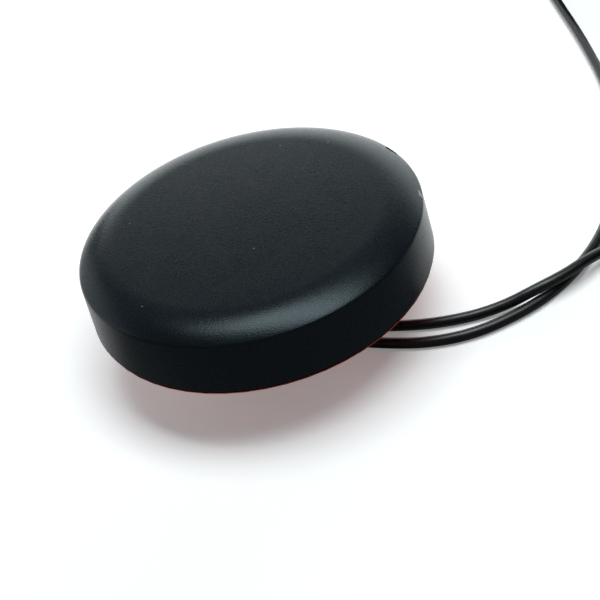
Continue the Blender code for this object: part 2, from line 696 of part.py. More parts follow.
def build_hex_nut(name, across_flats, bore, low, high, chamfer, material, parent=None, lip=()):
    """A turned ring with both edges chamfered, cut to six flats. A lip narrows its lower end."""
    corner = across_flats / 2 / math.cos(math.pi / 6) + LAMINATE_GAP
    drop = chamfer * math.tan(math.radians(30))
    inside = lip or [(bore, low)]
    nut = turned(name, [
        (corner - chamfer, low), (corner, low + drop),
        (corner, high - drop), (corner - chamfer, high), (bore, high), *inside,
    ], material, steps=30, parent=parent)
    hexagon = prism(f"{name}_hexagon", polygon(6, across_flats), low - 1.0, high + 1.0,
                    parent=parent)
    combine(nut, hexagon, "INTERSECT")
    return nut


def smooth_curve(points, spacing):
    """Points about evenly spaced, and closer in bends, on a curve through the given ones."""
    points = [Vector(point) for point in points]
    padded = [2 * points[0] - points[1], *points, 2 * points[-1] - points[-2]]
    dense = []
    for before, start, end, after in zip(padded, padded[1:], padded[2:], padded[3:]):
        times = [0.0]
        for first, second in ((before, start), (start, end), (end, after)):
            times.append(times[-1] + math.sqrt((second - first).length))
        t0, t1, t2, t3 = times
        for i in range(40):
            t = t1 + (t2 - t1) * i / 40
            a = before.lerp(start, (t - t0) / (t1 - t0))
            b = start.lerp(end, (t - t1) / (t2 - t1))
            c = end.lerp(after, (t - t2) / (t3 - t2))
            d = a.lerp(b, (t - t0) / (t2 - t0))
            e = b.lerp(c, (t - t1) / (t3 - t1))
            dense.append(d.lerp(e, (t - t1) / (t2 - t1)))
    dense.append(points[-1])
    kept = [dense[0]]
    heading = (dense[1] - dense[0]).normalized()
    travelled = 0.0
    for before, point in zip(dense, dense[1:]):
        step = point - before
        travelled += step.length
        if travelled >= spacing or step.angle(heading, 0.0) > math.radians(14):
            kept.append(point)
            heading = step.normalized()
            travelled = 0.0
    if (dense[-1] - kept[-1]).length < spacing / 3:
        kept.pop()
    kept.append(dense[-1])
    for point in kept:
        point.z = max(point.z, CABLE_Z)
    return kept


def path_length(points):
    return sum((Vector(b) - Vector(a)).length for a, b in zip(points, points[1:]))


def add_tube(name, points, radius, material):
    curve = bpy.data.curves.new(name, "CURVE")
    curve.dimensions = "3D"
    curve.bevel_depth = radius * MM
    curve.bevel_resolution = 2
    curve.use_fill_caps = True
    spline = curve.splines.new("POLY")
    spline.points.add(len(points) - 1)
    for slot, point in zip(spline.points, points):
        slot.co = (point[0] * MM, point[1] * MM, point[2] * MM, 1.0)
    curve.materials.append(material)
    obj = bpy.data.objects.new(name, curve)
    bpy.context.scene.collection.objects.link(obj)
    return obj


def cable_points(side, route, coil_start, heading, stop_short):
    """The uncoiled stretch: down the stud, out of its slot, over the surface to the coil."""
    y = side * CABLE_SPREAD
    bend_z = CABLE_Z + CABLE_BEND
    points = [(0.0, y, BOARD_Z - CABLE_TO_BOARD), (0.0, y, bend_z + CABLE_STRAIGHT), (0.0, y, bend_z)]
    for degrees in (30.0, 60.0, 90.0):
        angle = math.radians(degrees)
        points.append((
            CABLE_BEND * (1.0 - math.cos(angle)), y, bend_z - CABLE_BEND * math.sin(angle),
        ))
    points += [(x, y_floor, CABLE_Z + lift) for x, y_floor, lift in route]
    end = Vector((*coil_start, CABLE_Z)) - heading * stop_short
    points.append(tuple(end))
    return points


def build_cable(name, side, route, coil_start, heading_degrees, materials):
    """One cable with its coil, the tail behind it and its plug."""
    heading = Vector((*on_circle(1.0, heading_degrees), 0.0))
    right = Vector((heading.y, -heading.x, 0.0))
    half_width = COIL_COLUMNS * COIL_PITCH / 2
    turns = COIL_COLUMNS * COIL_LAYERS
    outer_offset = half_width - COIL_PITCH / 2
    whole_route = cable_points(side, route, coil_start, heading, 0.0)
    in_sleeve = STEM_END - RUNNING_GAP - SLEEVE_REAR
    rest = CABLE_LENGTH - path_length(whole_route) - TAIL_LENGTH - in_sleeve
    # all turns but the last half of the outer one, because the tail leaves there
    middle = (rest + math.pi * outer_offset) / (math.tau * turns - math.pi)
    turn_radius = middle + outer_offset
    ring_outer = turn_radius + COIL_PITCH / 2
    centre = Vector((*coil_start, 0.0)) + right * turn_radius
    # a straight cable that would join the outer turn comes FIT from the coil's solid here
    short = math.sqrt((ring_outer + CABLE_RADIUS + FIT) ** 2 - turn_radius ** 2)

    route_points = cable_points(side, route, coil_start, heading, short)
    add_tube(f"{name}_cable", smooth_curve(route_points, 2.5 * 2 * CABLE_RADIUS), CABLE_RADIUS,
             materials["jacket"])

    low, high = FLOOR_Z, FLOOR_Z + COIL_LAYERS * COIL_PITCH
    ring_inner = middle - half_width
    round_off = COIL_PITCH / 2
    coil = turned(f"{name}_cable_coil", [
        (ring_inner + round_off, low), (ring_outer - round_off, low), (ring_outer, low + round_off),
        (ring_outer, high - round_off), (ring_outer - round_off, high),
        (ring_inner + round_off, high), (ring_inner, high - round_off), (ring_inner, low + round_off),
    ], materials["jacket"], steps=40)
    coil.location = (centre.x * MM, centre.y * MM, 0.0)

    # the tail leaves the coil's far side and runs back beside it
    leave = centre + right * turn_radius
    leave.z = PLUG_Z
    front = leave - heading * (TAIL_LENGTH - SLEEVE_REAR)
    tail_start = leave - heading * short
    tail_end = leave - heading * (TAIL_LENGTH + in_sleeve)
    steps = 4
    add_tube(f"{name}_cable_tail", [tail_start.lerp(tail_end, i / steps) for i in range(steps + 1)],
             CABLE_RADIUS, materials["jacket"])
    build_plug(name, front, -heading, materials)


def build_plug(name, front, direction, materials):
    """A plug with its front plane at the given point, mating along the given direction."""
    empty = bpy.data.objects.new(f"{name}_plug_axis", None)
    bpy.context.scene.collection.objects.link(empty)
    turn = direction.to_track_quat("Z", "Y").to_matrix().to_4x4()
    empty.matrix_world = Matrix.Translation(front * MM) @ turn

    lip_bore = BARREL_RADIUS + RUNNING_GAP
    thread_bore = lip_bore + PLUG_NUT_STEP
    lip_front = PLUG_NUT_REAR + PLUG_NUT_LIP
    lip = [(thread_bore, lip_front), (lip_bore, lip_front), (lip_bore, PLUG_NUT_REAR)]
    build_hex_nut(f"{name}_coupling_nut", PLUG_ACROSS_FLATS, thread_bore, PLUG_NUT_REAR, 0.0,
                  PLUG_NUT_CHAMFER, materials["gold"], parent=empty, lip=lip)

    bore = BARREL_RADIUS - BARREL_WALL
    flange = thread_bore - RUNNING_GAP
    flange_rear = lip_front + RUNNING_GAP
    bore_end = (COLLAR_FRONT + COLLAR_REAR) / 2
    turned(f"{name}_plug_body", [
        (bore, -BARREL_SETBACK), (BARREL_RADIUS, -BARREL_SETBACK),
        (BARREL_RADIUS, flange_rear + PLUG_FLANGE), (flange, flange_rear + PLUG_FLANGE),
        (flange, flange_rear), (BARREL_RADIUS, flange_rear),
        (BARREL_RADIUS, COLLAR_FRONT), (COLLAR_RADIUS, COLLAR_FRONT),
        (COLLAR_RADIUS, COLLAR_REAR), (STEM_RADIUS, COLLAR_REAR),
        (STEM_RADIUS, STEM_END), (STEM_BORE, STEM_END), (STEM_BORE, bore_end), (bore, bore_end),
    ], materials["gold"], steps=16, parent=empty)

    insulator = bore - RUNNING_GAP
    pin_hole_radius = PLUG_PIN_RADIUS + RUNNING_GAP / 2
    insulator_rear = bore_end + LAMINATE_GAP
    turned(f"{name}_plug_insulator", [
        (pin_hole_radius, insulator_rear), (insulator, insulator_rear),
        (insulator, -BARREL_SETBACK), (pin_hole_radius, -BARREL_SETBACK),
    ], materials["ptfe"], steps=16, parent=empty)
    turned(f"{name}_plug_pin", [
        (0.0, insulator_rear), (PLUG_PIN_RADIUS, insulator_rear),
        (PLUG_PIN_RADIUS, -PLUG_PIN_SETBACK - PLUG_PIN_TAPER), (0.0, -PLUG_PIN_SETBACK),
    ], materials["gold"], steps=10, parent=empty)

    ferrule_bore = max(STEM_RADIUS, CABLE_RADIUS) + RUNNING_GAP
    ferrule_radius = ferrule_bore + FERRULE_WALL
    turned(f"{name}_crimp_ferrule", [
        (ferrule_bore, FERRULE_REAR), (ferrule_radius, FERRULE_REAR),
        (ferrule_radius, FERRULE_FRONT), (ferrule_bore, FERRULE_FRONT),
    ], materials["gold"], steps=SMALL_STEPS, parent=empty)

    wide = ferrule_radius + RUNNING_GAP
    narrow = CABLE_RADIUS + RUNNING_GAP
    turned(f"{name}_shrink_sleeve", [
        (narrow, SLEEVE_REAR), (narrow + SLEEVE_WALL, SLEEVE_REAR),
        (narrow + SLEEVE_WALL, SLEEVE_NECK), (wide + SLEEVE_WALL, FERRULE_REAR),
        (wide + SLEEVE_WALL, FERRULE_FRONT), (wide, FERRULE_FRONT),
        (wide, FERRULE_REAR - LAMINATE_GAP), (narrow, SLEEVE_NECK),
    ], materials["rubber"], steps=SMALL_STEPS, parent=empty)


def build():
    clear_objects()
    materials = make_materials()
    build_radome(materials)
    build_base(materials)
    build_gasket(materials)
    build_pad_and_liner(materials)
    build_housing_screws(materials)
    build_grommet(materials)
    build_board(materials)
    build_patch(materials)
    build_amplifier(materials)
    build_cellular_element(materials)
    build_nut_and_washer(materials)
    build_cable("gps", 1, GPS_ROUTE, GPS_COIL_START, GPS_COIL_HEADING, materials)
    build_cable("cellular", -1, CELLULAR_ROUTE, CELLULAR_COIL_START, CELLULAR_COIL_HEADING,
                materials)


build()
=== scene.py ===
import contextlib
import math

import bpy
from mathutils import Matrix, Quaternion, Vector


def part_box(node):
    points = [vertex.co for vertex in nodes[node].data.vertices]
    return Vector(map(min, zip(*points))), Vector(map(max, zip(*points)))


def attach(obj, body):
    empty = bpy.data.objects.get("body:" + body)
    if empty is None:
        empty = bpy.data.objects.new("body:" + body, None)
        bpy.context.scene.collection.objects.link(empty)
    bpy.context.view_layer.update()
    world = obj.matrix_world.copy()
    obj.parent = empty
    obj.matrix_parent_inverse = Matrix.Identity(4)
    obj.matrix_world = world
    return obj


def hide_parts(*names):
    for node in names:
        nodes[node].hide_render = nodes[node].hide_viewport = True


mm = 0.001
ringMerge = 0.002 * mm  # where two rings of a profile meet
meshMerge = 0.001 * mm
cutMerge = 0.005 * mm  # slivers along a cut
facing = 0.9  # cosine above which a face looks along an axis

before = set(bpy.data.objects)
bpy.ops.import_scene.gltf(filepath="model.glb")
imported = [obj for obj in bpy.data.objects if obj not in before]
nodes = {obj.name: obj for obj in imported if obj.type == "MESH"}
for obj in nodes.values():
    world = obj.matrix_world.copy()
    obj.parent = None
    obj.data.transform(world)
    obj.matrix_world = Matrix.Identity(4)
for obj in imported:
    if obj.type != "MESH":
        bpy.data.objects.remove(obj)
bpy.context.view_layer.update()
sides = ("gps", "cellular")  # the two cables
print("frame loaded with", len(nodes), "pieces")

# heights and radii that the frame already settles
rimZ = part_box("radome_shell")[0].z
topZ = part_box("radome_shell")[1].z
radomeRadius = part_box("radome_shell")[1].x
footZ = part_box("base_plate")[0].z  # the stud stands on this


def hexColour(code):
    channels = [int(code[i : i + 2], 16) / 255 for i in (1, 3, 5)]
    linear = [c / 12.92 if c <= 0.04045 else ((c + 0.055) / 1.055) ** 2.4 for c in channels]
    return (*linear, 1.0)


def newObject(name, data):
    obj = bpy.data.objects.new(name, data)
    bpy.context.scene.collection.objects.link(obj)
    return obj


def deselectAll():
    for obj in list(bpy.context.selected_objects):
        obj.select_set(False)


def selectOnly(obj):
    deselectAll()
    obj.select_set(True)
    bpy.context.view_layer.objects.active = obj


def applyModifiers(obj):
    selectOnly(obj)
    for modifier in list(obj.modifiers):
        bpy.ops.object.modifier_apply(modifier=modifier.name)


def applyPlace(obj):
    selectOnly(obj)
    bpy.ops.object.transform_apply(location=True, rotation=True, scale=True)


def cutWith(obj, cutter, operation="DIFFERENCE"):
    modifier = obj.modifiers.new("cut", "BOOLEAN")
    modifier.object = cutter
    modifier.operation = operation
    modifier.solver = "EXACT"
    modifier.material_mode = "TRANSFER"
    applyModifiers(obj)
    bpy.data.objects.remove(cutter, do_unlink=True)


def roundEdges(obj, width, segments, sharperThan=30):
    edges = obj.modifiers.new("edges", "BEVEL")
    edges.width = width
    edges.segments = segments
    edges.limit_method = "ANGLE"
    edges.angle_limit = math.radians(sharperThan)
    applyModifiers(obj)


@contextlib.contextmanager
def editMode(obj, action=None):
    # the action picks all of the mesh or none of it; without one, what was picked stays so
    selectOnly(obj)
    bpy.ops.object.mode_set(mode="EDIT")
    if action:
        bpy.ops.mesh.select_all(action=action)
    yield
    bpy.ops.object.mode_set(mode="OBJECT")


def mergeClose(obj, distance):
    with editMode(obj, "SELECT"):
        bpy.ops.mesh.remove_doubles(threshold=distance)


def clearSelection(obj, kind="VERT"):
    # corners, edges or faces can then be picked one by one
    with editMode(obj, "DESELECT"):
        bpy.ops.mesh.select_mode(type=kind)


def faceOutwards(obj):
    with editMode(obj, "SELECT"):
        bpy.ops.mesh.normals_make_consistent(inside=False)


def shadeSmooth(obj, sharperThan):
    selectOnly(obj)
    bpy.ops.object.shade_smooth_by_angle(angle=math.radians(sharperThan))


def joinInto(obj, others):
    selectOnly(obj)
    for other in others:
        other.select_set(True)
    bpy.ops.object.join()


def latheRings(name, rings, steps):
    # a circle is extruded from ring to ring along a profile of (radius, height)
    radius, height = rings[0]
    deselectAll()
    bpy.ops.mesh.primitive_circle_add(vertices=steps, radius=radius, location=(0, 0, height))
    obj = bpy.context.object
    obj.name = name
    applyPlace(obj)
    with editMode(obj, "SELECT"):
        for nextRadius, nextHeight in rings[1:]:
            rise = {"value": (0, 0, nextHeight - height)}
            bpy.ops.mesh.extrude_region_move(TRANSFORM_OT_translate=rise)
            factor = nextRadius / radius
            bpy.ops.transform.resize(value=(factor, factor, 1), center_override=(0, 0, 0))
            radius, height = nextRadius, nextHeight
    mergeClose(obj, ringMerge)
    faceOutwards(obj)
    return obj


def arcRings(centre, radius, start, end, steps):
    rings = []
    for i in range(steps + 1):
        angle = math.radians(start + (end - start) * i / steps)
        rings.append((centre[0] + radius * math.cos(angle), centre[1] + radius * math.sin(angle)))
    return rings


# shares of the thread's pitch, and of its depth
threadForm = {"width": 0.46, "crestFlat": 0.1, "depth": 1.2}


def windThread(name, crest, root, pitch, low, turns, steps):
    # a diamond with its tip cut flat, wound into a helix; its widest line is just under the wall
    spec = threadForm
    outward = 1 if crest > root else -1
    middle = crest - outward * spec["depth"] * abs(crest - root)
    flat = spec["crestFlat"] * pitch
    halfWidth = spec["width"] * pitch
    slant = Vector((crest - middle, halfWidth)).length
    half = abs(crest - middle) * (1 + flat / slant)
    deselectAll()
    bpy.ops.mesh.primitive_circle_add(
        vertices=4,
        radius=half,
        location=(middle, 0, low),
        rotation=(math.pi / 2, 0, 0),
    )
    thread = bpy.context.object
    thread.name = name
    bpy.ops.transform.resize(value=(1, 1, halfWidth / half))
    applyPlace(thread)
    clearSelection(thread)
    for vertex in thread.data.vertices:
        vertex.select = (vertex.co.x - middle) * outward > 0.5 * half
    with editMode(thread):
        bpy.ops.mesh.bevel(offset=flat, affect="VERTICES")
    screw = thread.modifiers.new("helix", "SCREW")
    screw.axis = "Z"
    screw.angle = math.tau
    screw.screw_offset = pitch
    screw.iterations = turns
    screw.steps = screw.render_steps = steps
    screw.use_merge_vertices = False
    applyModifiers(thread)
    mergeClose(thread, meshMerge)
    with editMode(thread, "SELECT"):
        bpy.ops.mesh.fill_holes(sides=5)
    faceOutwards(thread)
    return thread


def newMaterial(name, colour, roughness, ior=1.5, metallic=0.0):
    material = bpy.data.materials.new(name)
    material.use_nodes = True
    shader = material.node_tree.nodes["Principled BSDF"]
    shader.inputs["Base Color"].default_value = hexColour(colour)
    shader.inputs["Roughness"].default_value = roughness
    shader.inputs["Metallic"].default_value = metallic
    shader.inputs["IOR"].default_value = ior
    return material, shader


def addNode(material, kind, settings=None, links=None):
    node = material.node_tree.nodes.new(kind)
    for key, value in (settings or {}).items():
        if isinstance(key, str) and hasattr(node, key):
            setattr(node, key, value)
        else:
            node.inputs[key].default_value = value
    for key, source in (links or {}).items():
        material.node_tree.links.new(source, node.inputs[key])
    return node


def connect(material, source, target):
    material.node_tree.links.new(source, target)


def addRelief(
    material, shader, sizeMm, detail, strength, depthMm, contrast=0.5, shifts=None, darkest=None
):
    # unevenness about sizeMm wide raises the surface; it can shift the roughness both ways too,
    # and darken the colour to a share of itself
    place = addNode(material, "ShaderNodeTexCoord").outputs["Object"]
    noise = addNode(
        material,
        "ShaderNodeTexNoise",
        {"Scale": 1 / (sizeMm * mm), "Detail": detail, "Roughness": contrast},
        {"Vector": place},
    )
    height = noise.outputs["Fac"]
    bump = addNode(
        material,
        "ShaderNodeBump",
        {"Strength": strength, "Distance": depthMm * mm},
        {"Height": height},
    )
    connect(material, bump.outputs["Normal"], shader.inputs["Normal"])
    if shifts:
        roughness = shader.inputs["Roughness"]
        low, high = (roughness.default_value + shift for shift in shifts)
        uneven = addNode(
            material, "ShaderNodeMapRange", {"To Min": low, "To Max": high}, {"Value": height}
        )
        connect(material, uneven.outputs["Result"], roughness)
    if darkest:
        full = tuple(shader.inputs["Base Color"].default_value)
        darker = tuple(c * darkest for c in full[:3]) + (1.0,)
        mottled = addNode(
            material, "ShaderNodeMix", {"data_type": "RGBA", 6: darker, 7: full}, {0: height}
        )
        connect(material, mottled.outputs[2], shader.inputs["Base Color"])
    return place, height


# ABS moulded in a spark-eroded tool: a fine even grain that breaks every reflection into sparkle
radomeFinish = {
    "colour": "#080f15",
    "mark": "#a9a795",
    # the real grain is about 0.2 mm wide, too fine for this view
    "grain": {"sizeMm": 0.32, "detail": 2.0, "strength": 1.0, "depthMm": 0.036},
    "grainSpan": (0.38, 0.66),  # from the pits to the tops of the grain
    "pitsRougher": 0.03,
    "topsSmoother": 0.04,
    "handledMm": 9.0,
    "handledDetail": 3.0,
    "handledShift": 0.03,
    "roughness": 0.28,
    "ior": 1.54,
    "specular": 0.27,  # the grain's pits swallow part of the gloss
    "sheen": "#dcf1f8",  # painted cool cast of the light: every reflection is tinted a little cool
    "dustMm": [(-26.9, -8.2), (-6.6, -32.5), (-6.8, 27.1), (4.3, 30.9), (7.9, -9.2)],  # specks on top
    "dustBetweenMm": (12.0, 18.0),  # heights between which the top lies
    "dustRadiusMm": 0.13,
    "scratchRadiusMm": 0.15,
    "scratchesMm": [
        ((32.7, 21.0, 13.75), (34.4, 19.4, 13.2)),
        ((33.2, 20.0, 13.6), (34.3, 18.6, 13.35)),
    ],
}


def makeRadomeFinish():
    spec = radomeFinish
    material, shader = newMaterial("sparkErodedAbs", spec["colour"], spec["roughness"], spec["ior"])
    shader.inputs["Specular IOR Level"].default_value = spec["specular"]
    # the gloss takes the painted cool cast of the light
    shader.inputs["Specular Tint"].default_value = hexColour(spec["sheen"])
    place, grain = addRelief(material, shader, **spec["grain"])
    # handling leaves broad patches a little smoother
    patches = addNode(
        material,
        "ShaderNodeTexNoise",
        {"Scale": 1 / (spec["handledMm"] * mm), "Detail": spec["handledDetail"]},
        {"Vector": place},
    )
    smoother = addNode(
        material,
        "ShaderNodeMapRange",
        {"To Min": -spec["handledShift"], "To Max": spec["handledShift"]},
        {"Value": patches.outputs["Fac"]},
    )
    # the tops of the grain are polished and its pits are dull
    facets = addNode(
        material,
        "ShaderNodeMapRange",
        {
            "From Min": spec["grainSpan"][0],
            "From Max": spec["grainSpan"][1],
            "To Min": spec["roughness"] + spec["pitsRougher"],
            "To Max": spec["roughness"] - spec["topsSmoother"],
        },
        {"Value": grain},
    )
    rough = addNode(
        material,
        "ShaderNodeMath",
        {"operation": "ADD"},
        {0: smoother.outputs["Result"], 1: facets.outputs["Result"]},
    )
    connect(material, rough.outputs["Value"], shader.inputs["Roughness"])
    # scratches at the shoulder's edge and specks on the top: short lines that the surface is close to
    low, high = spec["dustBetweenMm"]
    lines = [(first, last, spec["scratchRadiusMm"]) for first, last in spec["scratchesMm"]]
    lines += [((x, y, low), (x, y, high), spec["dustRadiusMm"]) for x, y in spec["dustMm"]]
    marks = None
    for first, last, radius in lines:
        start, end = Vector(first) * mm, Vector(last) * mm
        along = (end - start).normalized()
        fromStart = addNode(
            material, "ShaderNodeVectorMath", {"operation": "SUBTRACT", 1: start}, {0: place}
        )
        travelled = addNode(
            material,
            "ShaderNodeVectorMath",
            {"operation": "DOT_PRODUCT", 1: along},
            {0: fromStart.outputs["Vector"]},
        )
        held = addNode(
            material,
            "ShaderNodeClamp",
            {"Min": 0.0, "Max": (end - start).length},
            {"Value": travelled.outputs["Value"]},
        )
        nearest = addNode(
            material,
            "ShaderNodeVectorMath",
            {"operation": "SCALE", 0: along},
            {"Scale": held.outputs["Result"]},
        )
        apart = addNode(
            material,
            "ShaderNodeVectorMath",
            {"operation": "DISTANCE"},
            {0: fromStart.outputs["Vector"], 1: nearest.outputs["Vector"]},
        )
        mark = addNode(
            material,
            "ShaderNodeMath",
            {"operation": "LESS_THAN", 1: radius * mm},
            {0: apart.outputs["Value"]},
        )
        if marks:
            mark = addNode(
                material,
                "ShaderNodeMath",
                {"operation": "MAXIMUM"},
                {0: marks.outputs["Value"], 1: mark.outputs["Value"]},
            )
        marks = mark
    marked = addNode(
        material,
        "ShaderNodeMix",
        {"data_type": "RGBA", 6: hexColour(spec["colour"]), 7: hexColour(spec["mark"])},
        {0: marks.outputs["Value"]},
    )
    connect(material, marked.outputs[2], shader.inputs["Base Color"])
    return material


plasticFinishes = {
    # where a chip has come away the radome's ABS is raw and matt; its near-black colour is painted
    # shade inside the chip
    "tornAbs": {
        "colour": "#040505",
        "roughness": 0.9,
        "ior": 1.54,
        "specular": 0.1,
        "relief": {"sizeMm": 0.15, "detail": 3.0, "strength": 1.0, "depthMm": 0.05},
    },
    # black, from a plain ground tool, rougher than the radome and without its sparkle
    "mouldedPolycarbonate": {
        "colour": "#17181a",
        "roughness": 0.45,
        "ior": 1.58,
        "relief": {"sizeMm": 0.5, "detail": 2.0, "strength": 0.3, "depthMm": 0.01},
    },
    # with a slight ripple where it is stuck down
    "redPolyesterFilm": {
        "colour": "#ad3427",
        "roughness": 0.3,
        "ior": 1.6,
        "relief": {"sizeMm": 6.0, "detail": 1.0, "strength": 0.4, "depthMm": 0.15},
    },
    # glossy, with a faint waviness from the die
    "extrudedPvc": {
        "colour": "#07080a",
        "roughness": 0.32,
        "ior": 1.53,
        "relief": {
            "sizeMm": 2.2,
            "detail": 3.0,
            "strength": 0.35,
            "depthMm": 0.05,
            "shifts": (-0.05, 0.13),
        },
    },
}


def makePlasticFinish(name):
    spec = plasticFinishes[name]
    material, shader = newMaterial(name, spec["colour"], spec["roughness"], spec["ior"])
    if "specular" in spec:
        shader.inputs["Specular IOR Level"].default_value = spec["specular"]
    addRelief(material, shader, **spec["relief"])
    return material


# closed-cell polyethylene foam: matt, with open cells at its cut edge
foamFinish = {
    "colour": "#1d1d1e",
    "roughness": 0.95,
    "cellMm": 0.35,
    "cellDepthMm": 0.08,
    "cellStrength": 0.8,
}


def makeFoamFinish():
    spec = foamFinish
    material, shader = newMaterial("closedCellFoam", spec["colour"], spec["roughness"])
    place = addNode(material, "ShaderNodeTexCoord").outputs["Object"]
    cells = addNode(
        material, "ShaderNodeTexVoronoi", {"Scale": 1 / (spec["cellMm"] * mm)}, {"Vector": place}
    )
    bump = addNode(
        material,
        "ShaderNodeBump",
        {"Strength": spec["cellStrength"], "Distance": spec["cellDepthMm"] * mm},
        {"Height": cells.outputs["Distance"]},
    )
    connect(material, bump.outputs["Normal"], shader.inputs["Normal"])
    return material


# rubber and silicone mouldings share a soft, slightly dusty surface: colour and roughness
rubberFinishes = {
    "mouldedNitrile": ("#18181a", 0.7),
    "extrudedSilicone": ("#8a8c8e", 0.55),
    "heatShrinkSleeve": ("#151617", 0.5),
}
rubberBloom = {
    "sizeMm": 0.6,
    "detail": 4.0,
    "strength": 0.3,
    "depthMm": 0.03,
    "shifts": (-0.08, 0.12),
}


def makeRubberFinish(name):
    colour, roughness = rubberFinishes[name]
    material, shader = newMaterial(name, colour, roughness)
    addRelief(material, shader, **rubberBloom)
    return material


# plated and rolled metals: colour, roughness and the size of their fine mottling
metalFinishes = {
    "zincPlatedSteel": ("#c3c6c9", 0.34, 0.9),
    "tinPlatedSteel": ("#c9c8c2", 0.42, 1.6),
    "goldPlatedBrass": ("#e6c069", 0.24, 1.2),
    "rolledBrass": ("#cfae62", 0.36, 2.0),
    "firedSilver": ("#dcdad4", 0.5, 0.35),
}
metalMottle = {
    "detail": 5.0,
    "strength": 0.15,
    "depthMm": 0.01,
    "contrast": 0.65,
    "shifts": (-0.07, 0.09),
    "darkest": 0.88,
}


def makeMetalFinish(name):
    colour, roughness, mottleMm = metalFinishes[name]
    material, shader = newMaterial(name, colour, roughness, metallic=1.0)
    addRelief(material, shader, mottleMm, **metalMottle)
    return material


# glass-epoxy board under a green mask, lighter in square-edged areas where copper lies under it
boardFinish = {
    "mask": "#1c5a33",
    "overCopper": "#21633a",
    "roughness": 0.35,
    "areaMm": 4.5,
    "copperAbove": 0.4,  # the other areas are bare
    "weave": {"sizeMm": 0.5, "detail": 2.0, "strength": 0.25, "depthMm": 0.02},
}


def makeBoardFinish():
    spec = boardFinish
    material, shader = newMaterial("solderMaskedBoard", spec["mask"], spec["roughness"])
    place, _ = addRelief(material, shader, **spec["weave"])
    areas = addNode(
        material,
        "ShaderNodeTexVoronoi",
        {"voronoi_dimensions": "2D", "distance": "CHEBYCHEV", "Scale": 1 / (spec["areaMm"] * mm)},
        {"Vector": place},
    )
    shade = addNode(material, "ShaderNodeSeparateColor", {}, {"Color": areas.outputs["Color"]})
    copper = addNode(
        material,
        "ShaderNodeMath",
        {"operation": "GREATER_THAN", 1: spec["copperAbove"]},
        {0: shade.outputs["Red"]},
    )
    masked = addNode(
        material,
        "ShaderNodeMix",
        {"data_type": "RGBA", 6: hexColour(spec["mask"]), 7: hexColour(spec["overCopper"])},
        {0: copper.outputs["Value"]},
    )
    connect(material, masked.outputs[2], shader.inputs["Base Color"])
    return material


# pressed and fired or moulded dielectrics: colour, roughness and the size of their speckle
dielectricFinishes = {
    "firedTitanateCeramic": ("#b39a7c", 0.6, 0.5),
    "acrylicTape": ("#d8d4c4", 0.5, 1.5),
    "chipEpoxy": ("#1a1b1d", 0.5, 0.15),
    "sinteredPtfe": ("#ecece8", 0.45, 0.8),
    "tieVinyl": ("#141516", 0.38, 1.0),
}
dielectricSpeckle = {"detail": 4.0, "strength": 0.25, "depthMm": 0.02, "darkest": 0.8}


def makeDielectricFinish(name):
    colour, roughness, speckleMm = dielectricFinishes[name]
    material, shader = newMaterial(name, colour, roughness)
    addRelief(material, shader, speckleMm, **dielectricSpeckle)
    return material


radomeAbs = makeRadomeFinish()
plastics = {name: makePlasticFinish(name) for name in plasticFinishes}
foam = makeFoamFinish()
rubbers = {name: makeRubberFinish(name) for name in rubberFinishes}
metals = {name: makeMetalFinish(name) for name in metalFinishes}
boardMask = makeBoardFinish()
dielectrics = {name: makeDielectricFinish(name) for name in dielectricFinishes}
print("materials made")


def paint(names, material):
    for name in names:
        nodes[name].data.materials.clear()
        nodes[name].data.materials.append(material)


# the frame's own pieces that keep their shape
paint(["adhesive_pad"], foam)
paint(["release_liner"], plastics["redPolyesterFilm"])
paint(["cable_grommet"], rubbers["mouldedNitrile"])
paint(["perimeter_gasket"], rubbers["extrudedSilicone"])
paint(["mounting_nut", "lock_washer"], metals["zincPlatedSteel"])
paint([f"housing_screw_{i}" for i in range(1, 5)], metals["zincPlatedSteel"])
paint([f"board_screw_{i}" for i in range(1, 4)], metals["zincPlatedSteel"])
paint(["main_board"], boardMask)
paint(["patch_tape"], dielectrics["acrylicTape"])
paint(["patch_ceramic"], dielectrics["firedTitanateCeramic"])
paint(["patch_electrode"], metals["firedSilver"])
paint(["patch_feed_pin", "shield_can", "filter_chip"], metals["tinPlatedSteel"])
paint(["amplifier_chip"], dielectrics["chipEpoxy"])
paint(["cellular_element"], metals["rolledBrass"])
paint([f"{side}_crimp_ferrule" for side in sides], metals["goldPlatedBrass"])
print("frame pieces painted")

# the moulded cover: drafted wall, soft shoulder, screw bosses and ribs inside
radome = {
    "sides": 256,
    "topRings": 10,
    "shoulderRings": 28,
    "liningRings": 8,
    "draft": 2.0,
    "slope": 38.5,  # of the shoulder where it meets the wall
    "liningSlope": 40.0,  # the lining keeps the solid's plain arc
    "shoulder": 13.0 * mm,
    "shoulderStart": 30.0 * mm,
    "softness": 1.4,  # above 1, the shoulder starts without an edge
    "crown": 1.0,  # the top falls away by a degree towards the shoulder
    "fall": 3.04 * mm,
    "fillet": 0.9 * mm,
    "filletSteps": 6,
    "filletReach": 0.42 * mm,  # in from the crease, where the fillet takes over
    "rimRound": 0.25 * mm,
    "rimMiddle": 0.3,  # the round's middle is this share of it from either face
    "shell": 2.2 * mm,
    "ledgeWidth": 1.6 * mm,
    "ledgeHeight": 1.4 * mm,
    "bossAngles": (45, 135, 225, 315),
    "bossSides": 32,
    "bossRadius": 3.2 * mm,
    "bossMargin": 2.0 * mm,
    "screwHole": 1.3 * mm,
    "screwDepth": 6.0 * mm,
    "ribThickness": 0.9 * mm,  # of the rib between each boss and the wall
    "nickAngle": 60.0,
    "nickMm": [(-1.7, 0.65, 1.1), (-0.2, 0.6, 1.2), (1.4, 0.3, 1.1)],  # chips: along, inward, length
    "nickWidth": 0.65 * mm,
    "nickDepth": 0.65 * mm,
    "nickLean": -12.0,
    "nickTwist": 0.3,  # radians for each millimetre along the edge
    "sharperThan": 24,
}


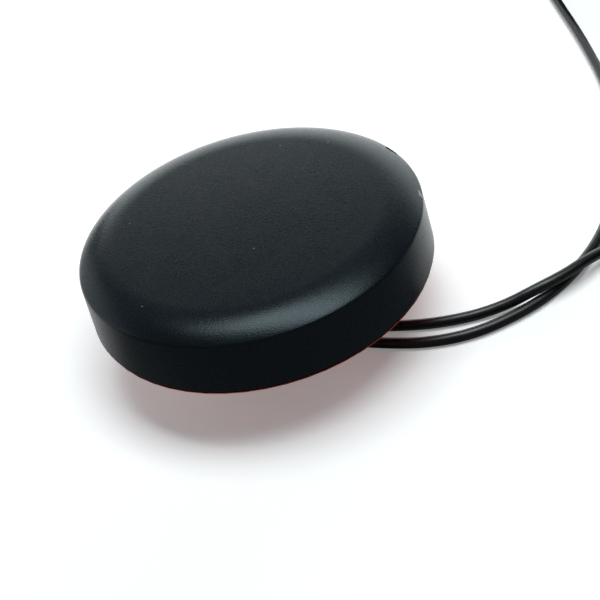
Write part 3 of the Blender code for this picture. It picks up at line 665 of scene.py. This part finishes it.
def topProfile(creaseRadius):
    # from the middle outwards the tilt grows slowly, then ever faster down the shoulder
    spec = radome
    start = spec["shoulderStart"]
    width = creaseRadius - start
    flat, sloping = spec["topRings"], spec["shoulderRings"]
    radii = [start * i / flat for i in range(flat)]
    radii += [start + width * i / sloping for i in range(sloping + 1)]
    drops = [0.0]
    for inner, outer in zip(radii, radii[1:]):
        middle = (inner + outer) / 2
        share = max(0.0, (middle - start) / width)
        tilt = spec["crown"] * middle / creaseRadius
        tilt += (spec["slope"] - spec["crown"]) * share ** spec["softness"]
        drops.append(drops[-1] + (outer - inner) * math.tan(math.radians(tilt)))
    factor = spec["fall"] / drops[-1]
    return [(radius, topZ - drop * factor) for radius, drop in zip(radii, drops)]


def buildRadome():
    spec = radome
    creaseZ = topZ - spec["fall"]
    creaseRadius = radomeRadius - (creaseZ - rimZ) * math.tan(math.radians(spec["draft"]))
    draft = math.radians(spec["draft"])
    arcReach = spec["shoulder"] * math.sin(math.radians(spec["liningSlope"]))
    arcCentre = (creaseRadius - arcReach, topZ - spec["shoulder"])
    # the small round between wall and shoulder touches both
    turn = 90 - spec["slope"] + spec["draft"]
    backOff = spec["fillet"] * math.tan(math.radians(turn / 2))
    wallUp = Vector((-math.sin(draft), math.cos(draft)))
    start = Vector((creaseRadius, creaseZ)) - wallUp * backOff
    filletCentre = start - Vector((wallUp.y, -wallUp.x)) * spec["fillet"]
    first = spec["draft"]
    crease = arcRings(filletCentre, spec["fillet"], first, first + turn, spec["filletSteps"])
    topEdge = creaseRadius - spec["filletReach"]
    outside = [ring for ring in reversed(topProfile(creaseRadius)) if ring[0] < topEdge]
    innerRadius = creaseRadius - spec["shell"]
    innerArc = spec["shoulder"] - spec["shell"]
    innerStart = math.degrees(math.acos((innerRadius - arcCentre[0]) / innerArc))
    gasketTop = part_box("perimeter_gasket")[1].z
    ledge = innerRadius - spec["ledgeWidth"]
    ledgeTop = gasketTop + spec["ledgeHeight"]
    ceiling = [(x, topZ - spec["shell"]) for x in (0.0, arcCentre[0] * 0.5)]
    near = spec["rimMiddle"] * spec["rimRound"]
    rings = [
        (innerRadius, gasketTop),
        (innerRadius, rimZ),
        (radomeRadius - spec["rimRound"], rimZ),
        (radomeRadius - near, rimZ + near),
        (radomeRadius, rimZ + spec["rimRound"]),
        *crease,
        *outside,
    ]
    body = latheRings("radomeOutside", rings, spec["sides"])
    inside = [
        (innerRadius, gasketTop),
        (ledge, gasketTop),
        (ledge, ledgeTop),
        (innerRadius, ledgeTop + spec["ledgeWidth"]),
        *arcRings(arcCentre, innerArc, innerStart, 90, spec["liningRings"]),
        *reversed(ceiling),
    ]
    lining = latheRings("radomeInside", inside, spec["sides"])
    joinInto(body, [lining])
    body.name = "radome"
    mergeClose(body, ringMerge)
    faceOutwards(body)
    return body, creaseRadius, creaseZ, ledge


def addRibs(body, creaseZ, ledge):
    spec = radome
    inside = ledge + spec["ledgeWidth"]
    start = ledge - spec["bossMargin"] - spec["bossRadius"]
    end = inside + spec["shell"] / 2
    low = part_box("perimeter_gasket")[1].z + spec["ledgeHeight"] / 2
    high = creaseZ - spec["shell"] / 2
    ribs = []
    for angle in spec["bossAngles"]:
        deselectAll()
        bpy.ops.mesh.primitive_cube_add(
            size=1,
            location=((start + end) / 2, 0, (low + high) / 2),
            scale=(end - start, spec["ribThickness"], high - low),
        )
        rib = bpy.context.object
        applyPlace(rib)
        rib.rotation_euler[2] = math.radians(angle)
        applyPlace(rib)
        rib.data.materials.append(radomeAbs)
        ribs.append(rib)
    joinInto(body, ribs)


def addBosses(body, ledge):
    spec = radome
    circle = ledge - spec["bossMargin"] - spec["bossRadius"]
    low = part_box("perimeter_gasket")[0].z
    high = topZ - spec["shell"] / 2
    bosses = []
    for degrees in spec["bossAngles"]:
        angle = math.radians(degrees)
        deselectAll()
        bpy.ops.mesh.primitive_cylinder_add(
            vertices=spec["bossSides"],
            radius=spec["bossRadius"],
            depth=high - low,
            location=(circle * math.cos(angle), circle * math.sin(angle), (low + high) / 2),
        )
        boss = bpy.context.object
        clearSelection(boss)
        for face in boss.data.polygons:
            face.select = face.normal.z < -facing
        deepen = {"value": (0, 0, spec["screwDepth"])}
        with editMode(boss):
            bpy.ops.mesh.inset(thickness=spec["bossRadius"] - spec["screwHole"])
            bpy.ops.mesh.extrude_region_move(TRANSFORM_OT_translate=deepen)
        applyPlace(boss)
        boss.data.materials.append(radomeAbs)
        bosses.append(boss)
    joinInto(body, bosses)


def chipEdge(body, creaseRadius, creaseZ):
    spec = radome
    for along, inward, length in spec["nickMm"]:
        angle = math.radians(spec["nickAngle"]) - along * mm / creaseRadius
        reach = creaseRadius - inward * mm
        height = creaseZ + inward * mm * math.tan(math.radians(spec["slope"]))
        deselectAll()
        bpy.ops.mesh.primitive_ico_sphere_add(
            subdivisions=1,
            radius=1,
            location=(reach * math.cos(angle), reach * math.sin(angle), height),
            rotation=(0, math.radians(spec["nickLean"]), angle + spec["nickTwist"] * along),
            scale=(spec["nickWidth"], length * mm, spec["nickDepth"]),
        )
        # the chip's faces take the near-black painted shade
        bpy.context.object.data.materials.append(plastics["tornAbs"])
        cutWith(body, bpy.context.object)


cover, creaseRadius, creaseZ, ledge = buildRadome()
cover.data.materials.append(radomeAbs)
chipEdge(cover, creaseRadius, creaseZ)
addBosses(cover, ledge)
addRibs(cover, creaseZ, ledge)
shadeSmooth(cover, radome["sharperThan"])
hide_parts("radome_shell")
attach(cover, "antenna")
print("radome built")

# the base plate keeps the frame's shape, with its stud turned down and a thread wound on
stud = {
    "outer": 7.0 * mm,
    "root": 6.1 * mm,
    "pitch": 1.5 * mm,
    "steps": 60,
    "threadStart": 0.9 * mm,  # above the foot
    "threadStop": 1.6 * mm,  # below the rim
    "neck": 0.6 * mm,  # below the rim, where the stud meets the plate
    "skin": 0.3 * mm,  # corners this near the outside are turned down
    "slotHalf": 3.4 * mm,
    "slotTop": 6.0 * mm,
    "slotDrop": 1.0 * mm,  # below the foot, so that the cut is clean
    "sharperThan": 32,
}


def buildThreadedBase():
    spec = stud
    base = newObject("threadedBase", nodes["base_plate"].data.copy())
    selectOnly(base)
    bpy.ops.mesh.customdata_custom_splitnormals_clear()  # they would smear once corners merge
    mergeClose(base, meshMerge)
    clearSelection(base)
    for vertex in base.data.vertices:
        reach = math.hypot(vertex.co.x, vertex.co.y)
        vertex.select = vertex.co.z < rimZ - spec["neck"] and reach > spec["outer"] - spec["skin"]
    factor = spec["root"] / spec["outer"]
    with editMode(base):
        bpy.ops.transform.resize(value=(factor, factor, 1), center_override=(0, 0, 0))

    low = footZ + spec["threadStart"]
    pitch = spec["pitch"]
    turns = int((rimZ - spec["threadStop"] - low) / pitch)
    thread = windThread("studThread", spec["outer"], spec["root"], pitch, low, turns, spec["steps"])
    deselectAll()
    bpy.ops.mesh.primitive_cube_add(
        size=1,
        location=(spec["outer"], 0, footZ + spec["slotTop"] / 2 - spec["slotDrop"]),
        scale=(2 * spec["outer"], 2 * spec["slotHalf"], spec["slotTop"] + 2 * spec["slotDrop"]),
    )
    cutWith(thread, bpy.context.object)
    joinInto(base, [thread])
    shadeSmooth(base, spec["sharperThan"])
    base.data.materials.clear()
    base.data.materials.append(plastics["mouldedPolycarbonate"])
    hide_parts("base_plate")
    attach(base, "antenna")


buildThreadedBase()
print("base and stud built")

# both coaxial cables, in millimetres
cables = {
    "radius": 1.3,
    "length": 3000.0,
    "pitch": 2.7,
    "columns": 6,
    "layers": 5,
    "bend": 6.5,  # radius inside the stud
    "straight": 6.0,  # above that bend
    "spread": 1.75,  # of each cable from the slot's middle
    "tail": 31.7,  # from the coil into the plug's sleeve
    "tailSteps": 6,
    "tailFall": 4,  # steps of the tail in which it comes down to the plug's height
    "coilGap": 0.3,  # the cable runs up to the coil without touching it
    "underCoil": 0.03,
    "pointsPerSpan": 6,
    "pointsPerTurn": 40,
    "stepStart": 50.0,  # degrees before a turn's end, where it moves over to its next place
    "stepArc": 40.0,
    "resolution": 4,
}
# soft vinyl-covered wire ties that hold each coil
tie = {
    "width": 4.0 * mm,
    "thickness": 0.4 * mm,
    "corner": 2.2 * mm,
    "slack": 0.2 * mm,
    "edge": 0.15 * mm,
    "edgeSteps": 2,
    "turns": (0.25, 0.75),  # share of a turn at which each tie sits
    "reach": 0.05,  # share of a turn over which the cable rises onto a tie
    "rise": 1.6,  # above 1, the cable lies flat on the tie itself
    "cornerSteps": 5,
    "sharperThan": 35,
}
# the routes of the frame's own solids: (x, y, lift above the surface that they lie on)
cableRoutes = {
    "gps": {
        "side": 1,
        "heading": 67.0,
        "route": [
            (12.0, 2.0, 0.0), (18.0, 2.9, 0.0), (25.0, 4.6, 0.0), (32.3, 7.0, 0.0),
            (36.6, 8.8, 0.0), (40.7, 11.0, 0.0), (44.6, 13.6, 0.0), (48.4, 16.5, 0.3),
            (52.1, 19.4, 1.1), (55.0, 21.8, 2.1), (57.6, 24.4, 2.8), (59.6, 27.0, 3.0),
            (61.4, 30.1, 3.0), (62.9, 33.4, 2.9), (64.2, 36.9, 2.4), (65.5, 40.5, 1.6),
            (67.8, 46.0, 0.4), (70.1, 51.4, 0.0),
        ],
    },
    "cellular": {
        "side": -1,
        "heading": 128.5,
        "route": [
            (12.0, -1.8, 0.0), (18.0, -1.7, 0.0), (26.0, -0.8, 0.0), (34.8, 1.4, 0.0),
            (38.9, 3.0, 0.0), (42.8, 5.1, 0.0), (46.4, 7.7, 0.0), (49.7, 10.9, 0.0),
            (52.8, 14.8, 0.0), (55.7, 19.2, 0.0), (58.3, 24.5, 0.0), (60.2, 30.2, 0.0),
            (61.4, 36.5, 0.0), (62.0, 43.0, 0.0), (61.8, 50.0, 0.0), (60.6, 58.0, 0.0),
            (57.8, 70.0, 0.0), (53.6, 82.0, 0.0), (46.6, 97.0, 0.0), (37.6, 112.0, 0.0),
            (28.9, 124.1, 0.0), (21.6, 133.6, 0.0), (14.0, 143.0, 0.0), (6.9, 151.8, 0.0),
        ],
    },
}


def smoothCurve(points, perSpan):
    # an even curve through given points, which never swings wide between them
    padded = [2 * points[0] - points[1], *points, 2 * points[-1] - points[-2]]
    curve = []
    for before, start, end, after in zip(padded, padded[1:], padded[2:], padded[3:]):
        t0 = 0.0
        t1 = t0 + math.sqrt((start - before).length)
        t2 = t1 + math.sqrt((end - start).length)
        t3 = t2 + math.sqrt((after - end).length)
        for i in range(perSpan):
            t = t1 + (t2 - t1) * i / perSpan
            a = before.lerp(start, (t - t0) / (t1 - t0))
            b = start.lerp(end, (t - t1) / (t2 - t1))
            c = end.lerp(after, (t - t2) / (t3 - t2))
            d = a.lerp(b, (t - t0) / (t2 - t0))
            e = b.lerp(c, (t - t1) / (t3 - t1))
            curve.append(d.lerp(e, (t - t1) / (t2 - t1)))
    curve.append(points[-1])
    return curve


def coilOrder():
    # inwards along the bottom row, then up and down the columns, back to the outside
    columns, layers = cables["columns"], cables["layers"]
    order = [(column, 0) for column in range(columns)]
    for i, column in enumerate(reversed(range(columns))):
        rows = range(1, layers)
        order += [(column, layer) for layer in (rows if i % 2 == 0 else reversed(rows))]
    return order


def coilPoints(centre, turnRadius, startAngle):
    # clockwise from above; near its end each turn moves over to its next place
    spec = cables
    order = coilOrder()
    points = []
    turns = len(order) - 0.5  # the tail leaves the last turn half way round
    count = int(turns * spec["pointsPerTurn"])
    for i in range(1, count + 1):
        travelled = i / spec["pointsPerTurn"]
        turn = min(int(travelled), len(order) - 1)
        share = (travelled - turn - (1 - spec["stepStart"] / 360)) / (spec["stepArc"] / 360)
        share = max(0.0, min(1.0, share))
        share = share * share * (3 - 2 * share)  # starts and ends gently
        column, layer = order[turn]
        nextColumn, nextLayer = order[min(turn + 1, len(order) - 1)]
        column += (nextColumn - column) * share
        layer += (nextLayer - layer) * share
        radius = turnRadius - column * spec["pitch"] * mm
        angle = startAngle - math.tau * travelled
        onTie = max(0.0, 1 - min(abs(travelled % 1 - t) for t in tie["turns"]) / tie["reach"])
        lift = tie["thickness"] * min(1.0, tie["rise"] * onTie)
        height = footZ + (spec["radius"] + spec["underCoil"] + layer * spec["pitch"]) * mm + lift
        points.append(centre + Vector((radius * math.cos(angle), radius * math.sin(angle), 0)))
        points[-1].z = height
    return points


def buildCable(side):
    spec, path = cables, cableRoutes[side]
    restZ = footZ + spec["radius"] * mm
    y = path["side"] * spec["spread"] * mm
    bend = spec["bend"] * mm
    bendZ = restZ + bend
    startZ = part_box(f"{side}_cable")[1].z
    points = [(0, y, startZ), (0, y, bendZ + spec["straight"] * mm), (0, y, bendZ)]
    for degrees in (30, 60, 90):
        angle = math.radians(degrees)
        points.append((bend * (1 - math.cos(angle)), y, bendZ - bend * math.sin(angle)))
    points += [(px * mm, py * mm, restZ + lift * mm) for px, py, lift in path["route"]]

    coilLow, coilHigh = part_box(f"{side}_cable_coil")
    centre = (coilLow + coilHigh) / 2
    centre.z = 0.0
    ringRadius = (coilHigh.x - coilLow.x) / 2
    turnRadius = ringRadius - spec["pitch"] / 2 * mm
    angle = math.radians(path["heading"])
    heading = Vector((math.cos(angle), math.sin(angle), 0))
    right = Vector((heading.y, -heading.x, 0))
    touch = centre - right * turnRadius
    touch.z = restZ
    clear = ringRadius + (spec["radius"] + spec["coilGap"]) * mm
    short = math.sqrt(clear**2 - turnRadius**2)
    points.append(tuple(touch - heading * short))

    line = smoothCurve([Vector(p) for p in points], spec["pointsPerSpan"])
    for point in line:
        point.z = max(point.z, restZ)
    line.append(touch)
    line += coilPoints(centre, turnRadius, math.atan2(-right.y, -right.x))
    leaveZ = line[-1].z
    leave = centre + right * turnRadius
    plugZ = footZ + plug["acrossFlats"] / 2 * mm
    for i in range(1, spec["tailSteps"] + 1):
        line.append(leave - heading * (spec["tail"] * mm * i / spec["tailSteps"]))
        line[-1].z = leaveZ + (plugZ - leaveZ) * min(1.0, i / spec["tailFall"])

    curve = bpy.data.curves.new(f"{side}Cable", "CURVE")
    curve.dimensions = "3D"
    curve.bevel_depth = spec["radius"] * mm
    curve.bevel_resolution = spec["resolution"]
    curve.use_fill_caps = True
    spline = curve.splines.new("POLY")
    spline.points.add(len(line) - 1)
    for target, point in zip(spline.points, line):
        target.co = (*point, 1.0)
    cable = newObject(f"{side}Cable", curve)
    curve.materials.append(plastics["extrudedPvc"])
    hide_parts(f"{side}_cable", f"{side}_cable_coil", f"{side}_cable_tail")
    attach(cable, "antenna")
    ties = [buildTie(side, i, centre, heading * aim, ringRadius) for i, aim in enumerate((1, -1))]
    front = leave - heading * (plug["setBack"] * mm)
    front.z = plugZ
    plugPieces = placePlug(side, front, -heading)


# a screw-on coaxial plug, measured back from its front face along its own axis, in millimetres;
# its turned pieces are closed outlines of (radius, place along the axis)
plug = {
    "setBack": 45.5,  # of its front from where the tail leaves the coil
    "sides": 48,
    "acrossFlats": 8.0,
    "cornerOver": 0.05,  # the turned blank is this much past the hexagon's corners
    "nutLength": 6.5,
    "nutChamfer": 0.55,
    "chamferAngle": 30.0,
    "nutBore": 3.16,
    "boreChamfer": (0.2, 0.25),
    "threadCrest": 2.86,
    "threadPitch": 0.706,
    "threadSteps": 40,
    "threadFree": 0.7,  # turns of bare bore before the thread starts
    "lipBore": 2.45,
    "lipFront": -5.0,
    "bodyEdge": 0.07,
    "bodyEdgeSteps": 2,
    "bodySharperThan": 40,
    "body": [
        (1.95, -2.5), (2.3, -2.5), (2.3, -4.25), (2.75, -4.25), (2.75, -4.85), (2.3, -4.85),
        (2.3, -6.65), (3.4, -6.65), (3.4, -7.35), (3.2, -7.45), (3.2, -7.65), (3.4, -7.75),
        (3.4, -8.45), (1.75, -8.45), (1.75, -13.65), (0.9, -13.65), (0.9, -7.55), (1.95, -7.55),
    ],
    "insulator": [(0.54, -7.5), (1.8, -7.5), (1.8, -2.62), (1.7, -2.5), (0.6, -2.5), (0.54, -2.58)],
    "pin": [(0.02, -7.5), (0.46, -7.5), (0.46, -1.15), (0.36, -0.85), (0.18, -0.64), (0.02, -0.6)],
    "sleeve": [
        (1.45, -21.5), (1.85, -21.5), (1.85, -18.4), (1.9, -17.9), (2.1, -17.4), (2.72, -16.2),
        (2.86, -15.9), (2.9, -15.5), (2.9, -8.6), (2.5, -8.6), (2.5, -15.75), (1.45, -17.8),
    ],
    "crimpFlats": 5.46,  # the six-sided crimp shows through the sleeve
    "crimpBetween": (-22.0, -8.0),
    "edgeRound": 0.12,
    "edgeSteps": 3,
    "sharperThan": 30,
}


def turnedRing(name, profile, material):
    rings = [(radius * mm, height * mm) for radius, height in (*profile, profile[0])]
    piece = latheRings(name, rings, plug["sides"])
    piece.data.materials.append(material)
    return piece


def hexagonalCore(flats, low, high):
    deselectAll()
    bpy.ops.mesh.primitive_cylinder_add(
        vertices=6,
        radius=flats / math.sqrt(3) * mm,
        depth=(high - low) * mm,
        location=(0, 0, (low + high) / 2 * mm),
        rotation=(0, 0, math.radians(30)),
    )
    core = bpy.context.object
    applyPlace(core)
    roundEdges(core, plug["edgeRound"] * mm, plug["edgeSteps"])
    return core


def buildPlugParts():
    spec = plug
    gold = metals["goldPlatedBrass"]
    corner = spec["acrossFlats"] / math.sqrt(3) + spec["cornerOver"]
    flank = corner - spec["nutChamfer"]
    drop = spec["nutChamfer"] * math.tan(math.radians(spec["chamferAngle"]))
    rear, lipBore, lipFront = -spec["nutLength"], spec["lipBore"], spec["lipFront"]
    bore = spec["nutBore"]
    wider, deeper = spec["boreChamfer"]
    outline = [
        (lipBore, rear), (flank, rear), (corner, rear + drop), (corner, -drop), (flank, 0.0),
        (bore + wider, 0.0), (bore, -deeper), (bore, lipFront), (lipBore, lipFront),
    ]
    nut = turnedRing("couplingNut", outline, gold)
    # the hexagon runs a millimetre past each end
    cutWith(nut, hexagonalCore(spec["acrossFlats"], rear - 1, 1), "INTERSECT")
    mergeClose(nut, cutMerge)
    turns = int(-lipFront / spec["threadPitch"]) - 2  # the bore's other turns stay bare
    low = lipFront + spec["threadFree"] * spec["threadPitch"]
    thread = windThread(
        "nutThread",
        spec["threadCrest"] * mm,
        bore * mm,
        spec["threadPitch"] * mm,
        low * mm,
        turns,
        spec["threadSteps"],
    )
    thread.data.materials.append(gold)
    joinInto(nut, [thread])
    body = turnedRing("plugBody", spec["body"], gold)
    roundEdges(body, spec["bodyEdge"] * mm, spec["bodyEdgeSteps"], spec["bodySharperThan"])
    insulator = turnedRing("plugInsulator", spec["insulator"], dielectrics["sinteredPtfe"])
    pin = turnedRing("plugPin", spec["pin"], gold)
    sleeve = turnedRing("shrinkSleeve", spec["sleeve"], rubbers["heatShrinkSleeve"])
    cutWith(sleeve, hexagonalCore(spec["crimpFlats"], *spec["crimpBetween"]), "INTERSECT")
    mergeClose(sleeve, cutMerge)
    parts = {
        "coupling_nut": nut,
        "plug_body": body,
        "plug_insulator": insulator,
        "plug_pin": pin,
        "shrink_sleeve": sleeve,
    }
    for piece in parts.values():
        shadeSmooth(piece, spec["sharperThan"])
    return parts


def placePlug(side, front, forward):
    # each cable gets its own copies; every slot but these two is gold
    turn = forward.to_track_quat("Z", "Y").to_matrix().to_4x4()
    placed = []
    for nodeName, part in plugParts.items():
        name = f"{side}{part.name[0].upper()}{part.name[1:]}"
        piece = newObject(name, part.data.copy())
        piece.matrix_world = Matrix.Translation(front) @ turn
        applyPlace(piece)
        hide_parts(f"{side}_{nodeName}")
        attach(piece, f"{side}_nut" if nodeName == "coupling_nut" else "antenna")
        placed.append(piece)
    return placed


def buildTie(side, number, centre, direction, ringRadius):
    spec = tie
    bulk = cables["columns"] * cables["pitch"] * mm
    height = cables["layers"] * cables["pitch"] * mm
    middle = centre + direction * (ringRadius - bulk / 2)
    deselectAll()
    bpy.ops.mesh.primitive_cube_add(
        size=1,
        location=(middle.x, middle.y, footZ + spec["thickness"] + height / 2),
        scale=(bulk + spec["slack"], spec["width"], height),
    )
    band = bpy.context.object
    band.name = f"{side}Tie{number + 1}"
    bpy.ops.object.transform_apply(location=False, rotation=False, scale=True)
    # the four edges across the band are rounded, then its open sides are taken away
    clearSelection(band, "EDGE")
    for edge in band.data.edges:
        a, b = (band.data.vertices[v].co for v in edge.vertices)
        edge.select = abs(a.y - b.y) > spec["width"] / 2
    with editMode(band):
        bpy.ops.mesh.bevel(offset=spec["corner"], segments=spec["cornerSteps"], affect="EDGES")
    clearSelection(band, "FACE")
    for face in band.data.polygons:
        face.select = abs(face.normal.y) > facing
    with editMode(band):
        bpy.ops.mesh.delete(type="FACE")
    band.rotation_euler[2] = math.atan2(direction.y, direction.x)
    applyPlace(band)
    wall = band.modifiers.new("wall", "SOLIDIFY")
    wall.thickness = spec["thickness"]
    wall.offset = 1.0
    roundEdges(band, spec["edge"], spec["edgeSteps"])
    shadeSmooth(band, spec["sharperThan"])
    band.data.materials.append(dielectrics["tieVinyl"])
    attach(band, "antenna")
    return band


plugParts = buildPlugParts()
for side in sides:
    buildCable(side)
for part in plugParts.values():
    bpy.data.objects.remove(part, do_unlink=True)
print("cables laid, coiled and plugged")

# a plain white table, soft light from above and behind
studio = {
    "floorSize": 6.0,
    "floorGap": 0.02 * mm,
    "floorColour": "#ffffff",  # white laminate, nearly without gloss
    "floorRoughness": 0.6,
    "floorSpecular": 0.1,
    "floorMirrored": "#6c6c6d",  # painted shade: the floor in front of the part, as the part's gloss alone shows it
    "floorGlow": 0.2,
    "farGlow": 1.0,  # past the lamps' reach the table still looks white
    "farStart": 0.3,
    "farFull": 1.0,
    "rearGlow": 0.75,  # painted reflection: the floor behind glows bright for the gloss alone
    "rearDirection": (-0.53, 0.85, 0.0),  # level, towards the back of the picture
    "rearStart": -0.02,
    "rearFull": 0.06,
    "roomColour": "#eaf4f8",
    "roomStrength": 0.1,
}


def buildStudio():
    spec = studio
    floorZ = footZ - spec["floorGap"]
    deselectAll()
    bpy.ops.mesh.primitive_plane_add(size=spec["floorSize"], location=(0, 0, floorZ))
    floor = bpy.context.object
    floor.name = "tableTop"
    material, shader = newMaterial("whiteLaminate", spec["floorColour"], spec["floorRoughness"])
    shader.inputs["Specular IOR Level"].default_value = spec["floorSpecular"]
    # the floor is painted in the part's gloss alone: painted shade in front, a painted reflection
    # glowing behind
    rays = addNode(material, "ShaderNodeLightPath")
    place = addNode(material, "ShaderNodeTexCoord").outputs["Object"]
    behind = addNode(
        material,
        "ShaderNodeVectorMath",
        {"operation": "DOT_PRODUCT", 1: spec["rearDirection"]},
        {0: place},
    )
    rear = addNode(
        material,
        "ShaderNodeMapRange",
        {"From Min": spec["rearStart"], "From Max": spec["rearFull"]},
        {"Value": behind.outputs["Value"]},
    )
    # painted shade: for glossy rays the floor in front turns to the darker colour
    front = addNode(
        material, "ShaderNodeMath", {"operation": "SUBTRACT", 0: 1.0}, {1: rear.outputs["Result"]}
    )
    dim = addNode(
        material,
        "ShaderNodeMath",
        {"operation": "MULTIPLY"},
        {0: rays.outputs["Is Glossy Ray"], 1: front.outputs["Value"]},
    )
    seen = addNode(
        material,
        "ShaderNodeMix",
        {"data_type": "RGBA", 6: hexColour(spec["floorColour"]), 7: hexColour(spec["floorMirrored"])},
        {0: dim.outputs["Value"]},
    )
    connect(material, seen.outputs[2], shader.inputs["Base Color"])
    # painted reflection: the glow that the gloss alone sees on the floor behind the part
    bright = addNode(
        material,
        "ShaderNodeMath",
        {"operation": "MULTIPLY", 1: spec["rearGlow"]},
        {0: rear.outputs["Result"]},
    )
    mirrored = addNode(
        material,
        "ShaderNodeMath",
        {"operation": "MULTIPLY"},
        {0: rays.outputs["Is Glossy Ray"], 1: bright.outputs["Value"]},
    )
    away = addNode(material, "ShaderNodeVectorMath", {"operation": "LENGTH"}, {0: place})
    far = addNode(
        material,
        "ShaderNodeMapRange",
        {
            "From Min": spec["farStart"],
            "From Max": spec["farFull"],
            "To Min": spec["floorGlow"],
            "To Max": spec["farGlow"],
        },
        {"Value": away.outputs["Value"]},
    )
    glow = addNode(
        material,
        "ShaderNodeMath",
        {"operation": "MULTIPLY_ADD"},
        {0: rays.outputs["Is Camera Ray"], 1: far.outputs["Result"], 2: mirrored.outputs["Value"]},
    )
    shader.inputs["Emission Color"].default_value = (1, 1, 1, 1)
    connect(material, glow.outputs["Value"], shader.inputs["Emission Strength"])
    floor.data.materials.append(material)

    world = bpy.data.worlds.new("whiteRoom")
    bpy.context.scene.world = world
    world.use_nodes = True
    background = world.node_tree.nodes["Background"]
    background.inputs["Color"].default_value = hexColour(spec["roomColour"])
    rays = addNode(world, "ShaderNodeLightPath")
    strength = addNode(
        world,
        "ShaderNodeMapRange",
        {"To Min": spec["roomStrength"], "To Max": 1.0},
        {"Value": rays.outputs["Is Camera Ray"]},
    )
    connect(world, strength.outputs["Result"], background.inputs["Strength"])


def aimAt(obj, place, aim, roll):
    obj.location = place
    level = (Vector(aim) - Vector(place)).to_track_quat("-Z", "Y")
    obj.rotation_euler = (level @ Quaternion((0, 0, 1), math.radians(roll))).to_euler()


lampTint = (0.93, 0.985, 1.0)  # slightly cool
# place, aim, size in metres, roll about its own axis, power in watts
lamps = {
    "overheadSoftbox": ((0.10, 0.08, 0.85), (0.10, 0.08, 0.0), (0.84, 0.39), -6.0, 6.6),
    "backPanel": ((-0.41, 1.02, 0.29), (0.0, 0.0, 0.05), (1.6, 0.55), 0.0, 5.4),
    "leftPanel": ((-1.0, -0.1, 0.35), (0.0, 0.0, 0.05), (1.0, 0.6), 0.0, 1.5),
}


def buildLamps():
    for name, (place, aim, size, roll, power) in lamps.items():
        light = bpy.data.lights.new(name, "AREA")
        light.shape = "RECTANGLE"
        light.size, light.size_y = size
        light.energy = power
        light.color = lampTint
        aimAt(newObject(name, light), place, aim, roll)


camera = {
    "place": (182.61 * mm, -207.4 * mm, 205.4 * mm),
    "aim": (13.64 * mm, -6.0 * mm, 0.0),
    "roll": -16.1,
    "lens": 90.0,
    "sensorWidth": 36.0,
    "near": 0.01,
    "far": 20.0,
}


def buildCamera():
    spec = camera
    data = bpy.data.cameras.new("camera")
    data.lens = spec["lens"]
    data.sensor_width = spec["sensorWidth"]
    data.clip_start, data.clip_end = spec["near"], spec["far"]
    obj = newObject("camera", data)
    aimAt(obj, spec["place"], spec["aim"], spec["roll"])
    bpy.context.scene.camera = obj


buildStudio()
buildLamps()
buildCamera()
bpy.context.scene.view_settings.view_transform = "Standard"
print("table, lamps and camera placed")
